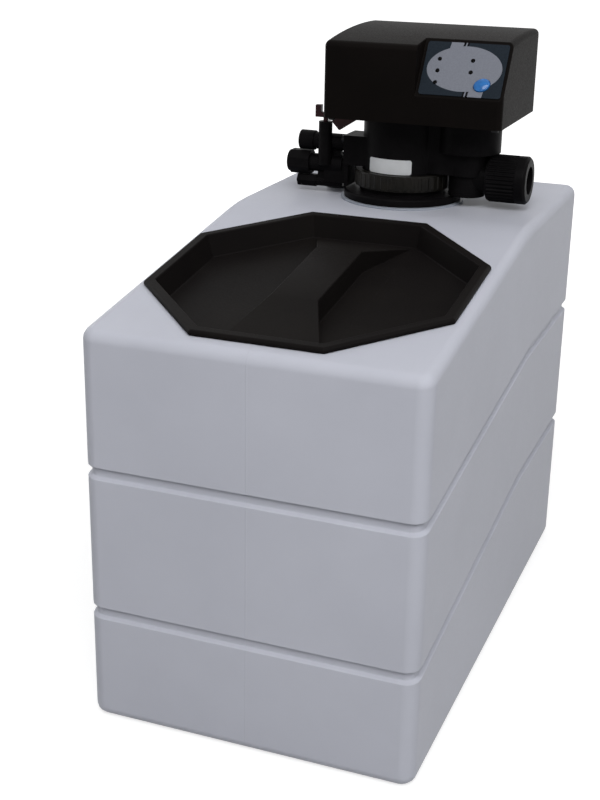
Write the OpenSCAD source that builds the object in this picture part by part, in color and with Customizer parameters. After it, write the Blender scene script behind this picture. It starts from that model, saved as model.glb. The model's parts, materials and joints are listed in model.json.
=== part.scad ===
// Cabinet water softener: salt cabinet, resin tank and a piston control valve with a lead-screw drive.
// Millimetres, +Z up, origin on the floor under the middle of the cabinet, front towards -Y.

/* [Cabinet] */
// Width of the cabinet, left to right
cabinet_w = 250; // [244:1:270]
// Depth of the cabinet, front to back
cabinet_d = 452; // [446:1:480]
// Height of the front edge of the sloping top
front_h = 301; // [294:1:308]
// Height of the flat rear deck
deck_h = 340; // [338:1:350]
// Length of the flat rear deck, front to back
deck_d = 190; // [184:1:196]
// Wall of the moulding
wall = 5; // [4:0.5:6]
// Radius of the moulded top and bottom edges
edge_r = 8; // [5:0.5:9]
// Radius of the upright corners
corner_r = 11; // [10:0.5:16]
// Height of the lower groove on the front
groove_low_h = 88; // [70:1:110]
// Height of the upper groove on the front
groove_high_h = 198; // [180:1:215]
// Rise of the grooves from the front to the back
groove_rise = 34; // [20:1:40]
// Height of a groove
groove_tall = 9; // [6:0.5:12]
// Depth of a groove
groove_deep = 3; // [2:0.5:3.5]

/* [Salt lid] */
// Size of the octagonal lid across its flats
lid_af = 232; // [224:1:234]
// Gap from the front of the cabinet to the lid's front flat
lid_front = 14; // [12:1:20]
// Thickness of the lid's rim
rim_t = 4; // [3:0.5:5]
// Width of the rim's flat top
rim_w = 8; // [7:0.5:10]
// Bevel around the rim
rim_bevel = 1.5; // [1:0.5:2]
// Depth of the tray below the rim's top
tray_deep = 17.5; // [14:0.5:22]
// Lean of the tray's wall from rim to floor
tray_draft = 5; // [3:0.5:7]
// Wall of the tray
lid_wall = 3; // [2:0.5:3.5]
// Half width of the ridge across the tray
ridge_w = 18; // [14:1:24]
// Half length of the level part of the ridge
ridge_l = 46; // [36:1:56]
// Half width of the ridge's ends on the tray floor
ridge_flare = 40; // [28:1:42]

/* [Tank] */
// Radius of the resin tank
tank_r = 90; // [84:1:92]
// Wall of the resin tank
tank_wall = 3; // [2:0.5:4]
// Height of the tank's domes
dome_h = 45; // [40:1:48]
// Height of the tank's lowest point above the floor
tank_low = 18; // [16:1:24]
// Distance from the cabinet's back to the tank's axis
neck_inset = 123; // [118:1:128]
// Radius of the tank's threaded neck
neck_r = 31.75; // [31:0.25:32.5]
// Wall of the tank's neck
neck_wall = 6; // [5:0.5:7]
// Height of the boot under the tank
boot_h = 50; // [40:1:60]
// Thickness of the boot outside the tank
boot_t = 3; // [2:0.5:4]
// Level of the resin above the floor
resin_top = 200; // [160:1:240]
// Radius of the riser pipe
riser_r = 13.35; // [12:0.05:14]
// Wall of the riser pipe
riser_wall = 2; // [1.5:0.25:3]
// Radius of the bottom basket
basket_r = 25; // [22:1:28]
// Height of the bottom basket
basket_h = 48; // [40:1:60]

/* [Valve] */
// Radius of the bore in the deck for the neck
neck_hole_r = 45; // [44:0.5:46]
// Radius of the pale trim ring on the deck
trim_r = 51.5; // [50.5:0.5:55]
// Thickness of the trim ring
trim_t = 1.6; // [1:0.2:2.4]
// Radius of the adapter's flange
flange_r = 49; // [47:0.5:50]
// Thickness of the adapter's flange
flange_t = 6.2; // [5:0.2:8]
// Radius of the knurled coupling ring
ring_r = 40.5; // [39.5:0.5:41]
// Height of the knurled coupling ring
ring_h = 13; // [12:0.5:14]
// Number of ribs around the coupling ring
ring_ribs = 40; // [24:1:60]
// Radius of the valve's main cylinder
body_r = 34; // [33:0.25:34.5]
// Height of the valve body above its adapter
body_h = 53; // [52:0.5:60]
// Radius of the main bore
bore_r = 17.5; // [17:0.25:19]
// Number of piston seals
seal_n = 5; // [4:1:5]
// Thickness of a piston seal
seal_t = 2.6; // [2:0.1:2.8]
// Height of a seal spacer
spacer_t = 7.5; // [7:0.1:7.8]
// Radius of the piston
piston_r = 12; // [11:0.25:12.5]
// Length of the piston
piston_l = 22; // [18:0.5:24]
// Travel of the piston
piston_travel = 16; // [10:0.5:18]
// Radius of the piston rod
rod_r = 4; // [3.5:0.1:4.5]
// Distance from the neck axis to the meter turret
turret_x = 56.5; // [56:0.5:60]
// Distance of the turret in front of the neck axis
turret_fwd = 5; // [0:0.5:8]
// Radius of the turret
turret_r = 26; // [24:0.5:28]
// Radius of the turret's chamber
chamber_r = 11.5; // [10:0.5:12]
// Number of turbine blades
blade_n = 6; // [4:1:8]
// Radius of the threaded ports
port_r = 13.2; // [12:0.1:14]
// Radius of the ports' bores
port_bore = 9.5; // [8:0.25:10]
// Radius of the union nuts
nut_r = 19.3; // [18:0.1:20]
// Length of the union nuts
nut_l = 33; // [28:0.5:36]
// Number of ribs around a union nut
nut_ribs = 36; // [24:1:48]

/* [Injector] */
// Distance of the injector in front of the neck axis
inj_fwd = 8; // [6:0.5:10]
// Height of the injector barrel above the deck
inj_up = 43.5; // [43:0.5:46]
// Radius of the injector barrel
inj_r = 7; // [6:0.25:7.25]
// Drop from the injector barrel to the drain barrel
drain_drop = 18.5; // [18.5:0.5:20]
// Radius of the drain barrel
drain_r = 7.5; // [7:0.25:7.75]
// Drop from the drain barrel to the brine barrel
brine_drop = 15.3; // [15.3:0.1:16.3]
// Radius of the brine barrel
brine_r = 4.5; // [4:0.25:4.75]
// Distance from the neck axis to the bleed post
post_x = 64.6; // [62:0.1:67]
// Radius of the bleed post
post_r = 5.7; // [5:0.1:6.5]
// Travel of the bleed stem
bleed_travel = 3; // [1:0.5:4.5]

/* [Power head] */
// Reach of the cover to the left of the neck axis
head_left = 52; // [51:0.5:58]
// Reach of the cover to the right of the neck axis
head_right = 94; // [92:0.5:98]
// Reach of the cover in front of the neck axis
head_front = 58; // [56:0.5:62]
// Reach of the cover behind the neck axis
head_back = 60; // [58:0.5:64]
// Height of the cover at its front edge
head_front_h = 60; // [58:0.5:66]
// Height of the cover at its back edge
head_back_h = 67; // [66:0.5:72]
// Rise of the crown above the line between those edges
head_crown = 3; // [2:0.5:5]
// Radius of the cover's edges
head_edge = 5; // [3:0.5:6]
// Wall of the cover
head_wall = 2.5; // [2:0.25:3]
// Height of the display slope above the cover's lower edge
slope_low = 22; // [20:0.5:25]
// Lean of the display slope from upright, in degrees
slope_lean = 33; // [28:1:36]
// Distance from the neck axis to the left edge of the slope
slope_x = 24; // [22:0.5:26]
// Width of the display panel
panel_w = 65; // [60:0.5:66]
// Height of the display panel
panel_h = 45; // [42:0.5:46]
// Thickness of the display panel
panel_t = 0.8; // [0.5:0.1:1.2]
// Radius of an indicator
led_r = 1.6; // [1.2:0.1:2]
// Half width of the panel's oval button
button_a = 6.5; // [5:0.25:7]
// Half height of the panel's oval button
button_b = 5.2; // [4:0.25:5.5]
// Travel of the panel's button
button_travel = 0.8; // [0.4:0.1:1]

/* [Drive] */
// Module of the gears
gear_m = 1; // [0.9:0.05:1]
// Teeth on the drive gear
drive_teeth = 48; // [44:4:48]
// Teeth on the idler's wheel
wheel_teeth = 36; // [30:2:36]
// Teeth on the idler's and the motor's pinions
pinion_teeth = 12; // [12:1:14]
// Width of the gears
gear_t = 8; // [6:0.5:8]
// Radius of the motor
motor_r = 13; // [11:0.5:14]
// Height of the motor
motor_h = 16; // [12:0.5:17]

/* [Brine] */
// Radius of the brine well
well_r = 40; // [36:1:42]
// Room from the top of the brine well to the underside of the deck
well_room = 85; // [82:1:130]
// Wall of the brine well
well_wall = 2.5; // [2:0.25:3]
// Radius of the brine tube
tube_r = 3.2; // [3:0.1:3.4]
// Radius of the float
float_r = 12.5; // [10:0.5:13]
// Length of the float
float_l = 36; // [24:1:40]
// Travel of the float
float_travel = 100; // [60:1:110]
// Height of the salt grid above the floor
grid_up = 60; // [40:1:90]
// Thickness of the salt grid
grid_t = 3; // [2:0.5:4]
// Radius of a hole in the salt grid
grid_hole = 5; // [3:0.5:6]
// Distance between the holes of the salt grid
grid_pitch = 28; // [22:1:34]
// Radius of a salt grid leg
leg_r = 12; // [9:0.5:14]
// Distance from the right-hand side to the overflow
overflow_in = 40; // [35:1:50]
// Height of the overflow above the floor
overflow_z = 264; // [258:1:280]
// Radius of the overflow pipe
overflow_r = 8.7; // [7:0.1:9]

/* [Hidden] */
$fn = 48;
// Clearances: moving curved faces, running shafts, seated pieces and pieces pushed into one another
free_gap = 0.3;
run_gap = 0.05;
seat_gap = 0.2;
push_gap = 0.1;
// Overshoot of a cut past the face that it leaves
past = 1;

half_w = cabinet_w/2;
half_d = cabinet_d/2;
ramp_len = cabinet_d - deck_d;
ramp_end = half_d - deck_d;
ramp_lean = atan((deck_h - front_h)/ramp_len);
// Length over which the slope eases into the deck, and the grooves' slope into their level
ease = 14;
corner_steps = 4;
neck_y = half_d - neck_inset;

// Levels of the neck stack, from the deck up
trim_top = deck_h + trim_t;
flange_z = trim_top + seat_gap;
flange_top = flange_z + flange_t;
o_ring_d = 2;
collar_h = 10;
collar_r = body_r + 1.7;
body_z = flange_top + collar_h;
ring_z = body_z - 6;
ring_lip = 4;
foot_t = ring_z + ring_h - ring_lip - body_z - seat_gap;
bore_z = body_z + 3;
head_z = body_z + body_h;
base_t = 3;
base_z = head_z + base_t;
stack_h = seal_n*seal_t + (seal_n - 1)*spacer_t;
stack_top = bore_z + stack_h;

// Resin tank: springing lines of the two domes
dome_low = tank_low + dome_h;
dome_high = deck_h - 12 - dome_h;
riser_low = tank_low + tank_wall + 30;
spigot_z = flange_top - o_ring_d;
spigot_r = neck_r - neck_wall - 2;
skirt_h = 16;
skirt_t = 6.5;

// Piston, end plug and lead-screw drive, from the valve body's top up
piston_z = bore_z + 1;
plug_t = 2;
plug_r = 21;
boss_r = 6.5;
boss_h = 4;
hub_r = 9;
hub_z = head_z + plug_t + free_gap;
gear_z = base_z + 10;
wheel_z = gear_z + gear_t + 2;
wheel_t = 6;
hub_top = wheel_z + wheel_t + 6;
arm_z = hub_top + 0.4;
arm_t = 5;
arm_w = 12;
rod_top = arm_z + arm_t;
drive_r = gear_m*drive_teeth/2;
wheel_r = gear_m*wheel_teeth/2;
pinion_r = gear_m*pinion_teeth/2;
// Directions from the drive gear to the idler and from the idler to the motor
idler_dir = 40;
motor_dir = -20;
idler_x = (drive_r + pinion_r)*cos(idler_dir);
idler_y = (drive_r + pinion_r)*sin(idler_dir);
motor_x = idler_x + (wheel_r + pinion_r)*cos(motor_dir);
motor_y = idler_y + (wheel_r + pinion_r)*sin(motor_dir);
idler_pin_r = 2;
motor_pin_r = 1.5;
guide_r = 3;
guide_x = -(drive_r + gear_m + guide_r + 4);
guide_top = rod_top + piston_travel + 1;

// Meter turret and ports
turret_foot = ring_z + ring_h + 1;
cup_z = flange_top + 3;
cup_r = chamber_r + 3.5;
turret_waist = cup_r + 3;
outlet_z = cup_z + port_r + 0.3;
turret_z = outlet_z + nut_r + 2*free_gap;
nut_wall = 4;
nut_start = turret_x + turret_waist + 0.7;
port_end = nut_start + nut_l - nut_wall - 2;
tail_r = 11.2;
inlet_z = body_z + 25;
inlet_start = body_r + 18;
passage_r = 7;
web_w = 32;
passage_z = head_z - 16;
turbine_z = outlet_z + port_r + 2;
turbine_h = 14;
turbine_r = chamber_r - 2*free_gap;
blade_t = 1.6;
blade_h = turbine_h - 4;
blade_lean = 20;
blade_l = sqrt(pow(turbine_r, 2) - pow(blade_t/2 + blade_h*sin(blade_lean), 2));
turbine_pin_r = 1.5;

// Left-hand fittings
inj_z = deck_h + inj_up;
drain_z = inj_z - drain_drop;
brine_z = drain_z - brine_drop;
pad_x = -(body_r + 8);
plate_t = 4;
plate_low = inj_z - 16;
plate_high = inj_z + 8.5;
plate_half = 14;
barrel_start = pad_x - plate_t;
inj_end = -post_x - 21;
drain_end = inj_end + 4;
brine_end = inj_end + 12;
elbow_x = inj_end + 19.6;
elbow_back = 20;
web_half = 2.5;
inj_bore = 4;
cap_wall = 1.2;
cap_over = 10;
cap_end = 3;
pad_screw_r = 1.6;
pad_screws = [[3.5 - plate_half, plate_high - 4], [plate_half - 3.5, plate_low + 4]];
post_top = inj_z + 17.8;
post_fwd = 7;
post_bore = 3.6;
post_lip = 1.5;
stem_r = 2;
stem_foot = 3;
lever_low = post_top + bleed_travel + free_gap;
lever_t = 5;
lever_h = 4;
lever_gap = 0.8;
lever_l = 26.8;
spring_z = inj_z + 5;
stem_z = post_top - post_lip - stem_foot - free_gap;
drain_barb_x = barrel_start - 12;
drain_barb_r = 6.3;
drain_barb_y = drain_r + 4;
drain_barb_l = 26;

// Cover and display
slope_z = head_z + slope_low;
panel_x = slope_x + (head_right - slope_x)/2;
panel_up = 2;
board_back = 6;
board_t = 1.6;
board_w = panel_w - 9;
screw_boss_h = 14;
jack_l = 10;
led_cols = [-0.32*panel_w, 0.088*panel_w];
led_rows = [0.675*panel_h, 0.455*panel_h, 0.234*panel_h];
led_spots = [[led_cols[0], led_rows[0]], [led_cols[0], led_rows[1]], [led_cols[0], led_rows[2]],
             [led_cols[1], led_rows[0]], [led_cols[1], led_rows[1]]];
button_spot = [0.254*panel_w, 0.227*panel_h];
button_tilt = 25;
board_posts = [[-24, 4], [-24, panel_h - 8], [24, panel_h - 8]];
screw_inset = 6;
screw_r = 1.4;
screw_spots = [for (x = [screw_inset - head_left, head_right - screw_inset],
                    y = [screw_inset - head_front, head_back - screw_inset]) [x, y]];
inlet_jack = [60, head_z + 16];
jack_r = 4;
jack_bore = 2.8;
button_lip = 1.2;
lip_t = 1;
switch_t = 0.4;
led_proud = 0.4;

// Brine side
well_h = deck_h - 2*wall - well_room;
well_x = -(half_w - wall - well_r - 8);
well_y = neck_y - tank_r - well_r - 3;
check_r = 11;
check_neck = 6;
check_body = wall + 47;
check_top = wall + 65;
check_socket = check_top - 10;
cap_t = 3;
cap_skirt = 8;
well_slot = [12, 20];
well_slot_z = wall + 10;
float_x = float_r + tube_r + 2.3;
float_rod_r = 2;
// A point by the tank: out from its side, round from the left to the front, and up from its shoulder
function by_tank(out, round, up) = [
    -(tank_r + out)*cos(round), neck_y - (tank_r + out)*sin(round),
    dome_high + (out < 0 ? dome_rise(0, tank_r + out) : 0) + up];
// Brine tube: from its elbow through the deck, over the tank's shoulder and down the well
tube_route = [
    [elbow_x, neck_y + elbow_back, brine_z + 1],
    [elbow_x, neck_y + elbow_back, deck_h + 2],
    [elbow_x, neck_y + elbow_back, deck_h - 4],
    [elbow_x, neck_y + elbow_back, deck_h - 9],
    by_tank(-20.1, -13.2, 10.6),
    by_tank(-14.9, -3, 6.2),
    by_tank(-5.5, 6.1, 7.5),
    by_tank(5.6, 15.8, 15),
    by_tank(18.2, 26.3, 10),
    by_tank(31.4, 37, 7),
    by_tank(42.2, 45.9, 6),
    by_tank(51.6, 53.6, 3),
    [well_x - 3.5, well_y + 5, wall + well_h + 27],
    [well_x, well_y, wall + well_h + 12],
    [well_x, well_y, wall + well_h - 10],
    [well_x, well_y, check_socket]];
tube_sides = 8;
tube_steps = 3;

// Colours of the materials
pale = "#C8CBD2";
ink = "#161517";
soot = "#232326";
steel = "#B8BCC0";
straw = "#C9B88A";
amber = "#B5762F";
milk = "#E6E6E2";
blue = "#3C78B4";
slate = "#2D343C";
green = "#2E6B45";
rust = "#6E2A24";

// Points on an arc that rounds corner b between a and c
function round_corner(a, b, c, r, n) =
    let (u = (a - b)/norm(a - b), w = (c - b)/norm(c - b), half = acos(u*w)/2,
         o = b + (u + w)/norm(u + w)*r/sin(half), p = b + u*r/tan(half) - o, q = b + w*r/tan(half) - o)
    [for (i = [0:n]) let (v = p*(n - i) + q*i) o + v/norm(v)*r];

// A closed outline with every corner rounded
function rounded(pts, r, n = 4) =
    let (m = len(pts))
    [for (i = [0:m - 1]) each round_corner(pts[(i + m - 1)%m], pts[i], pts[(i + 1)%m], r, n)];

// Corners of a rectangle
function box_pts(x0, y0, x1, y1) = [[x0, y0], [x1, y0], [x1, y1], [x0, y1]];

// Points of an ellipse from one angle to another
function ellipse_pts(a, b, from, to, n) =
    [for (i = [0:n]) let (t = from + (to - from)*i/n) [a*cos(t), b*sin(t)]];

// Outline of a ribbed round: ribs stand proud of the root radius
function ribbed_pts(r, rib, n) =
    [for (i = [0:n - 1], k = [0:3])
        let (t = (i + [0, 0.3, 0.5, 0.8][k])*360/n, q = k < 2 ? r : r - rib) [q*cos(t), q*sin(t)]];

// A ramp that eases in and out of its slope around its end: 0 at the start, 1 on the level
function eased(y, start, end) =
    y <= end - ease ? max(0, (y - start)/(end - start))
    : y >= end + ease ? 1
    : let (k = (y - end + ease)/(2*ease), s = 2*ease/(end - start)) 1 - s/2 + s*(k - k*k/2);

// Involute gear outline with a tooth centred on the X axis
pressure = 20;
tooth_tip = 0.8;
tooth_root = 1.15;
backlash = 0.16;
function inv_deg(base, r) = let (a = acos(base/r)) tan(a)*180/PI - a;
function tooth_half(n, r) =
    let (p = gear_m*n/2, b = p*cos(pressure))
    90/n - backlash/p*180/PI/2 + inv_deg(b, p) - inv_deg(b, max(r, b));
function gear_pts(n) =
    let (p = gear_m*n/2, b = p*cos(pressure),
         rs = [p - tooth_root*gear_m, max(b, p - tooth_root*gear_m + 0.05), p, p + tooth_tip*gear_m])
    [for (i = [0:n - 1]) each concat(
        [for (k = [0:3]) let (t = i*360/n - tooth_half(n, rs[k])) [rs[k]*cos(t), rs[k]*sin(t)]],
        [for (k = [3:-1:0]) let (t = i*360/n + tooth_half(n, rs[k])) [rs[k]*cos(t), rs[k]*sin(t)]])];

// Smooth path through the given points
function spline_at(p0, p1, p2, p3, t) =
    ((2*p1) + (p2 - p0)*t + (2*p0 - 5*p1 + 4*p2 - p3)*t*t + (3*p1 - p0 - 3*p2 + p3)*t*t*t)/2;
function smooth_path(pts, n) =
    let (m = len(pts) - 1)
    concat([for (i = [0:m - 1], k = [0:n - 1])
        spline_at(pts[max(i - 1, 0)], pts[i], pts[i + 1], pts[min(i + 2, m)], k/n)], [pts[m]]);

module along_x(x0, x1) translate([x0, 0, 0]) rotate([90, 0, 90]) linear_extrude(x1 - x0) children();
module along_y(y0, y1) translate([0, y1, 0]) rotate([90, 0, 0]) linear_extrude(y1 - y0) children();
module rod_x(x0, x1, r) translate([x0, 0, 0]) rotate([0, 90, 0]) cylinder(h = x1 - x0, r = r);
module rod_y(y0, y1, r) translate([0, y0, 0]) rotate([-90, 0, 0]) cylinder(h = y1 - y0, r = r);
module rod_z(z0, z1, r) translate([0, 0, z0]) cylinder(h = z1 - z0, r = r);
module pipe_z(z0, z1, r_out, r_in) {
    difference() {
        rod_z(z0, z1, r_out);
        rod_z(z0 - past, z1 + past, r_in);
    }
}
module at_neck() translate([0, neck_y, 0]) children();
module at_turret() translate([turret_x, neck_y - turret_fwd, 0]) children();
module at_injector() translate([0, neck_y - inj_fwd, 0]) children();
module at_post() at_injector() translate([-post_x, -post_fwd, 0]) children();
module at_idler() translate([idler_x, neck_y + idler_y, 0]) children();
module at_motor() translate([motor_x, neck_y + motor_y, 0]) children();
module at_well() translate([well_x, well_y, 0]) children();
module at_float() translate([well_x + float_x, well_y, 0]) children();
module at_slope() {
    translate([panel_x, neck_y - head_front, slope_z]) rotate([90 - slope_lean, 0, 0]) children();
}
module at_panel() at_slope() translate([0, panel_up, 0]) children();

// Lid frame: on the sloping top, Z square to the slope
lid_y = -half_d + lid_front + lid_af/2*cos(ramp_lean);
lid_z = front_h + (lid_y + half_d)*tan(ramp_lean);
opening_af = lid_af - 2*rim_w + 2*lid_wall + 2;
module at_lid() translate([0, lid_y, lid_z]) rotate([ramp_lean, 0, 0]) children();
function octagon_r(af) = af/2/cos(22.5);
module octagon_block(z0, z1, af0, af1) {
    rotate(22.5) translate([0, 0, z0])
        cylinder(h = z1 - z0, r1 = octagon_r(af0), r2 = octagon_r(af1), $fn = 8);
}

// Cabinet skin: rings of a rounded rectangle, each [inset, height in front, rise to the back, end of rise]
groove_end = ramp_end + 2*ease;
function groove_rings(h) = [
    [0, h - groove_tall*0.6, groove_rise, groove_end],
    [groove_deep, h + groove_tall*0.2, groove_rise, groove_end],
    [groove_deep, h + groove_tall*0.28, groove_rise, groove_end],
    [0, h + groove_tall*0.4, groove_rise, groove_end]];
skin_rings = concat(
    [for (a = [0:30:90]) [edge_r*(1 - sin(a)), edge_r*(1 - cos(a)), 0, ramp_end]],
    groove_rings(groove_low_h),
    groove_rings(groove_high_h),
    [for (a = [0:22.5:90])
        [edge_r*(1 - cos(a)), front_h - edge_r*(1 - sin(a)), deck_h - front_h, ramp_end]]);
side_y = [for (k = [-1:3]) ramp_end + k*ease];
function arc_pts(cx, cy, r, a0) =
    [for (i = [0:corner_steps]) let (a = a0 + 90*i/corner_steps) [cx + r*cos(a), cy + r*sin(a)]];
function ring_plan(e) =
    let (x = half_w - e, y = half_d - e, r = max(corner_r - e, 1))
    concat(arc_pts(x - r, r - y, r, -90), [for (v = side_y) [x, v]], arc_pts(x - r, y - r, r, 0),
           arc_pts(r - x, y - r, r, 90), [for (k = [4:-1:0]) [-x, side_y[k]]],
           arc_pts(r - x, r - y, r, 180));
function ring_at(s) = [for (p = ring_plan(s[0])) [p[0], p[1], s[1] + s[2]*eased(p[1], -half_d, s[3])]];
module cabinet_skin() {
    n = len(ring_plan(0));
    m = len(skin_rings);
    top = (m - 1)*n;
    polyhedron(
        points = [for (s = skin_rings) each ring_at(s)],
        faces = concat(
            [for (j = [0:m - 2], i = [0:n - 1]) let (k = (i + 1)%n) each
                [[j*n + i, (j + 1)*n + k, j*n + k], [j*n + i, (j + 1)*n + i, (j + 1)*n + k]]],
            [[for (i = [0:n - 1]) i]],
            [for (i = [0:n/2 - 2]) [top + n - 1 - i, top + n - 2 - i, top + i + 1, top + i]]));
}
module cabinet_hollow() {
    intersection() {
        along_x(wall - half_w, half_w - wall)
            polygon([[wall - half_d, wall], [half_d - wall, wall], [half_d - wall, deck_h - wall],
                     [ramp_end + ease, deck_h - wall],
                     [wall - half_d, front_h - wall/cos(ramp_lean) - ease*tan(ramp_lean)]]);
        linear_extrude(deck_h)
            polygon(rounded(box_pts(wall - half_w, wall - half_d, half_w - wall, half_d - wall),
                            corner_r - wall));
    }
}
grommet_r = tube_r + 3.2;
module cabinet_shell() color(pale) {
    difference() {
        cabinet_skin();
        cabinet_hollow();
        at_lid() octagon_block(-4*wall, 4*wall, opening_af, opening_af);
        at_neck() rod_z(deck_h - 2*wall, deck_h + wall, neck_hole_r);
        translate([elbow_x, neck_y + elbow_back, 0]) rod_z(deck_h - 2*wall, deck_h + wall, grommet_r);
        translate([overflow_x, 0, overflow_z]) rod_y(half_d - 2*wall, half_d + wall, overflow_r + push_gap);
    }
}

tray_top_af = lid_af - 2*rim_w;
tray_low_af = tray_top_af - 2*tray_draft;
floor_z = rim_t - tray_deep;
// The ridge that crosses the tray: level in the middle, with ends that widen and run down into the floor
ridge_end = tray_low_af/2;
ridge_sink = 0.5;
ridge_plan = [[-ridge_flare, -ridge_end], [ridge_flare, -ridge_end], [ridge_w, -ridge_l], [ridge_w, ridge_l],
              [ridge_flare, ridge_end], [-ridge_flare, ridge_end], [-ridge_w, ridge_l],
              [-ridge_w, -ridge_l]];
module lid_ridge() {
    polyhedron(
        points = concat(
            [for (p = ridge_plan) [p[0], p[1], floor_z - past]],
            [for (p = ridge_plan) [p[0], p[1], abs(p[1]) > ridge_l ? floor_z - ridge_sink : rim_t]]),
        faces = concat(
            [[0, 1, 2, 3, 4, 5, 6, 7], [15, 10, 9, 8], [14, 11, 10, 15], [13, 12, 11, 14]],
            [for (i = [0:7]) [i, i + 8, (i + 1)%8 + 8, (i + 1)%8]]));
}
module salt_lid() color(ink) at_lid() translate([0, 0, seat_gap]) {
    difference() {
        union() {
            octagon_block(0, rim_t - rim_bevel, lid_af, lid_af);
            octagon_block(rim_t - rim_bevel, rim_t, lid_af, lid_af - 2*rim_bevel);
            octagon_block(floor_z - lid_wall, past, tray_low_af + 2*lid_wall, tray_top_af + lid_wall);
        }
        octagon_block(floor_z, rim_t + past, tray_low_af, tray_top_af + 2*tray_draft/tray_deep*past);
    }
    lid_ridge();
}

module neck_trim_ring() color(pale) at_neck() {
    pipe_z(deck_h, trim_top, trim_r, neck_hole_r - 2.5);
    pipe_z(deck_h - wall - 3, deck_h, neck_hole_r - push_gap, neck_hole_r - 2.5);
}

grid_z = wall + grid_up;
grid_edge = 3;
grid_back = neck_y - tank_r - boot_t - grid_edge;
grid_front = wall - half_d + grid_edge;
grid_half = half_w - wall - grid_edge;
hole_cols = floor((grid_half - 2*grid_hole)/grid_pitch);
hole_rows = floor((grid_back - grid_front - 4*grid_hole)/grid_pitch);
leg_spots = [[grid_half - 2*leg_r, grid_front + 2*leg_r], [2*leg_r - grid_half, grid_front + 2*leg_r],
             [grid_half - 2*leg_r, grid_back - 2*leg_r]];
module salt_grid() color(milk) difference() {
    translate([0, 0, grid_z]) linear_extrude(grid_t)
        polygon(rounded(box_pts(-grid_half, grid_front, grid_half, grid_back), corner_r - wall));
    for (i = [-hole_cols:hole_cols], j = [0:hole_rows]) {
        x = i*grid_pitch;
        y = grid_front + 2*grid_hole + j*grid_pitch;
        if (norm([x - well_x, y - well_y]) > well_r + 2*grid_hole)
            translate([x, y, 0]) rod_z(grid_z - past, grid_z + grid_t + past, grid_hole);
    }
    at_well() rod_z(grid_z - past, grid_z + grid_t + past, well_r + free_gap);
}
module grid_legs() color(milk) for (p = leg_spots) translate(p) pipe_z(wall, grid_z, leg_r, leg_r - 2);

module brine_well() color(milk) at_well() difference() {
    pipe_z(wall, wall + well_h, well_r, well_r - well_wall);
    for (a = [0, 90]) rotate(a) translate([-2*well_r, -well_slot[0]/2, well_slot_z])
        cube([4*well_r, well_slot[0], well_slot[1]]);
}
module brine_well_cap() color(soot) at_well() difference() {
    union() {
        rod_z(wall + well_h, wall + well_h + cap_t, well_r + 1.5);
        rod_z(wall + well_h - cap_skirt, wall + well_h, well_r - well_wall - push_gap);
    }
    rod_z(wall + well_h - cap_skirt - past, wall + well_h, well_r - 2*well_wall - push_gap);
    rod_z(wall, wall + well_h + cap_t + past, tube_r + free_gap);
}
module air_check() color(milk) {
    at_well() difference() {
        union() {
            rod_z(wall, check_body, check_r);
            translate([0, 0, check_body]) cylinder(h = check_neck, r1 = check_r, r2 = check_neck);
            rod_z(check_body + check_neck, check_top, check_neck);
            translate([0, -4, check_top - 4]) cube([float_x + 4, 8, 4]);
        }
        rod_z(check_socket - push_gap, check_top + past, tube_r + free_gap);
    }
}
float_z = check_top + free_gap;
float_rod_top = float_z + float_l + float_travel + 4;
module float_rod() color(steel) at_float() {
    rod_z(check_top, float_rod_top, float_rod_r);
    rod_z(float_rod_top, float_rod_top + 2, 2*float_rod_r);
}
module brine_float() color(amber) at_float() {
    pipe_z(float_z, float_z + float_l, float_r, float_rod_r + run_gap);
}

module brine_tube() color(milk) {
    path = smooth_path(tube_route, tube_steps);
    n = len(path);
    points = [for (i = [0:n - 1])
        let (t = path[min(i + 1, n - 1)] - path[max(i - 1, 0)], u = cross(t, [1, 0, 0]), w = cross(u, t))
        for (k = [0:tube_sides - 1]) let (a = 360*k/tube_sides)
            path[i] + tube_r*(cos(a)*u/norm(u) + sin(a)*w/norm(w))];
    polyhedron(points = points, faces = concat(
        [for (i = [0:n - 2], k = [0:tube_sides - 1])
            let (a = i*tube_sides + k, b = i*tube_sides + (k + 1)%tube_sides) each
            [[a, b, b + tube_sides], [a, b + tube_sides, a + tube_sides]]],
        [[for (k = [tube_sides - 1:-1:0]) k], [for (k = [0:tube_sides - 1]) (n - 1)*tube_sides + k]]));
}
module tube_grommet() color(soot) translate([elbow_x, neck_y + elbow_back, 0]) difference() {
    union() {
        rod_z(deck_h - wall - 1, deck_h, grommet_r - push_gap);
        rod_z(deck_h, deck_h + 1.6, grommet_r + 2.6);
    }
    rod_z(deck_h - 2*wall, deck_h + wall, tube_r + free_gap);
}

overflow_x = half_w - overflow_in;
elbow_len = 20;
elbow_drop = 28;
knuckle = overflow_r + 0.3;
hose_tail_r = overflow_r - 1;
module overflow_elbow() color(soot) translate([overflow_x, half_d, overflow_z]) difference() {
    union() {
        rod_y(-wall - 14, elbow_len, overflow_r);
        rod_y(0, 3, overflow_r + 4);
        translate([0, elbow_len, 0]) rod_z(-knuckle, overflow_r, overflow_r);
        translate([0, elbow_len, 0]) rod_z(-elbow_drop, -knuckle, hose_tail_r);
    }
    rod_y(-wall - 14 - past, elbow_len, overflow_r - 2.5);
    translate([0, elbow_len, 0]) rod_z(-elbow_drop - past, 0, hose_tail_r - 1.8);
}
module overflow_nut() color(soot) translate([overflow_x, half_d - wall, overflow_z]) difference() {
    translate([0, -6, 0]) rotate([-90, 0, 0]) cylinder(h = 6, r = overflow_r + 6, $fn = 6);
    rod_y(-6 - past, past, overflow_r + push_gap);
}

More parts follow.
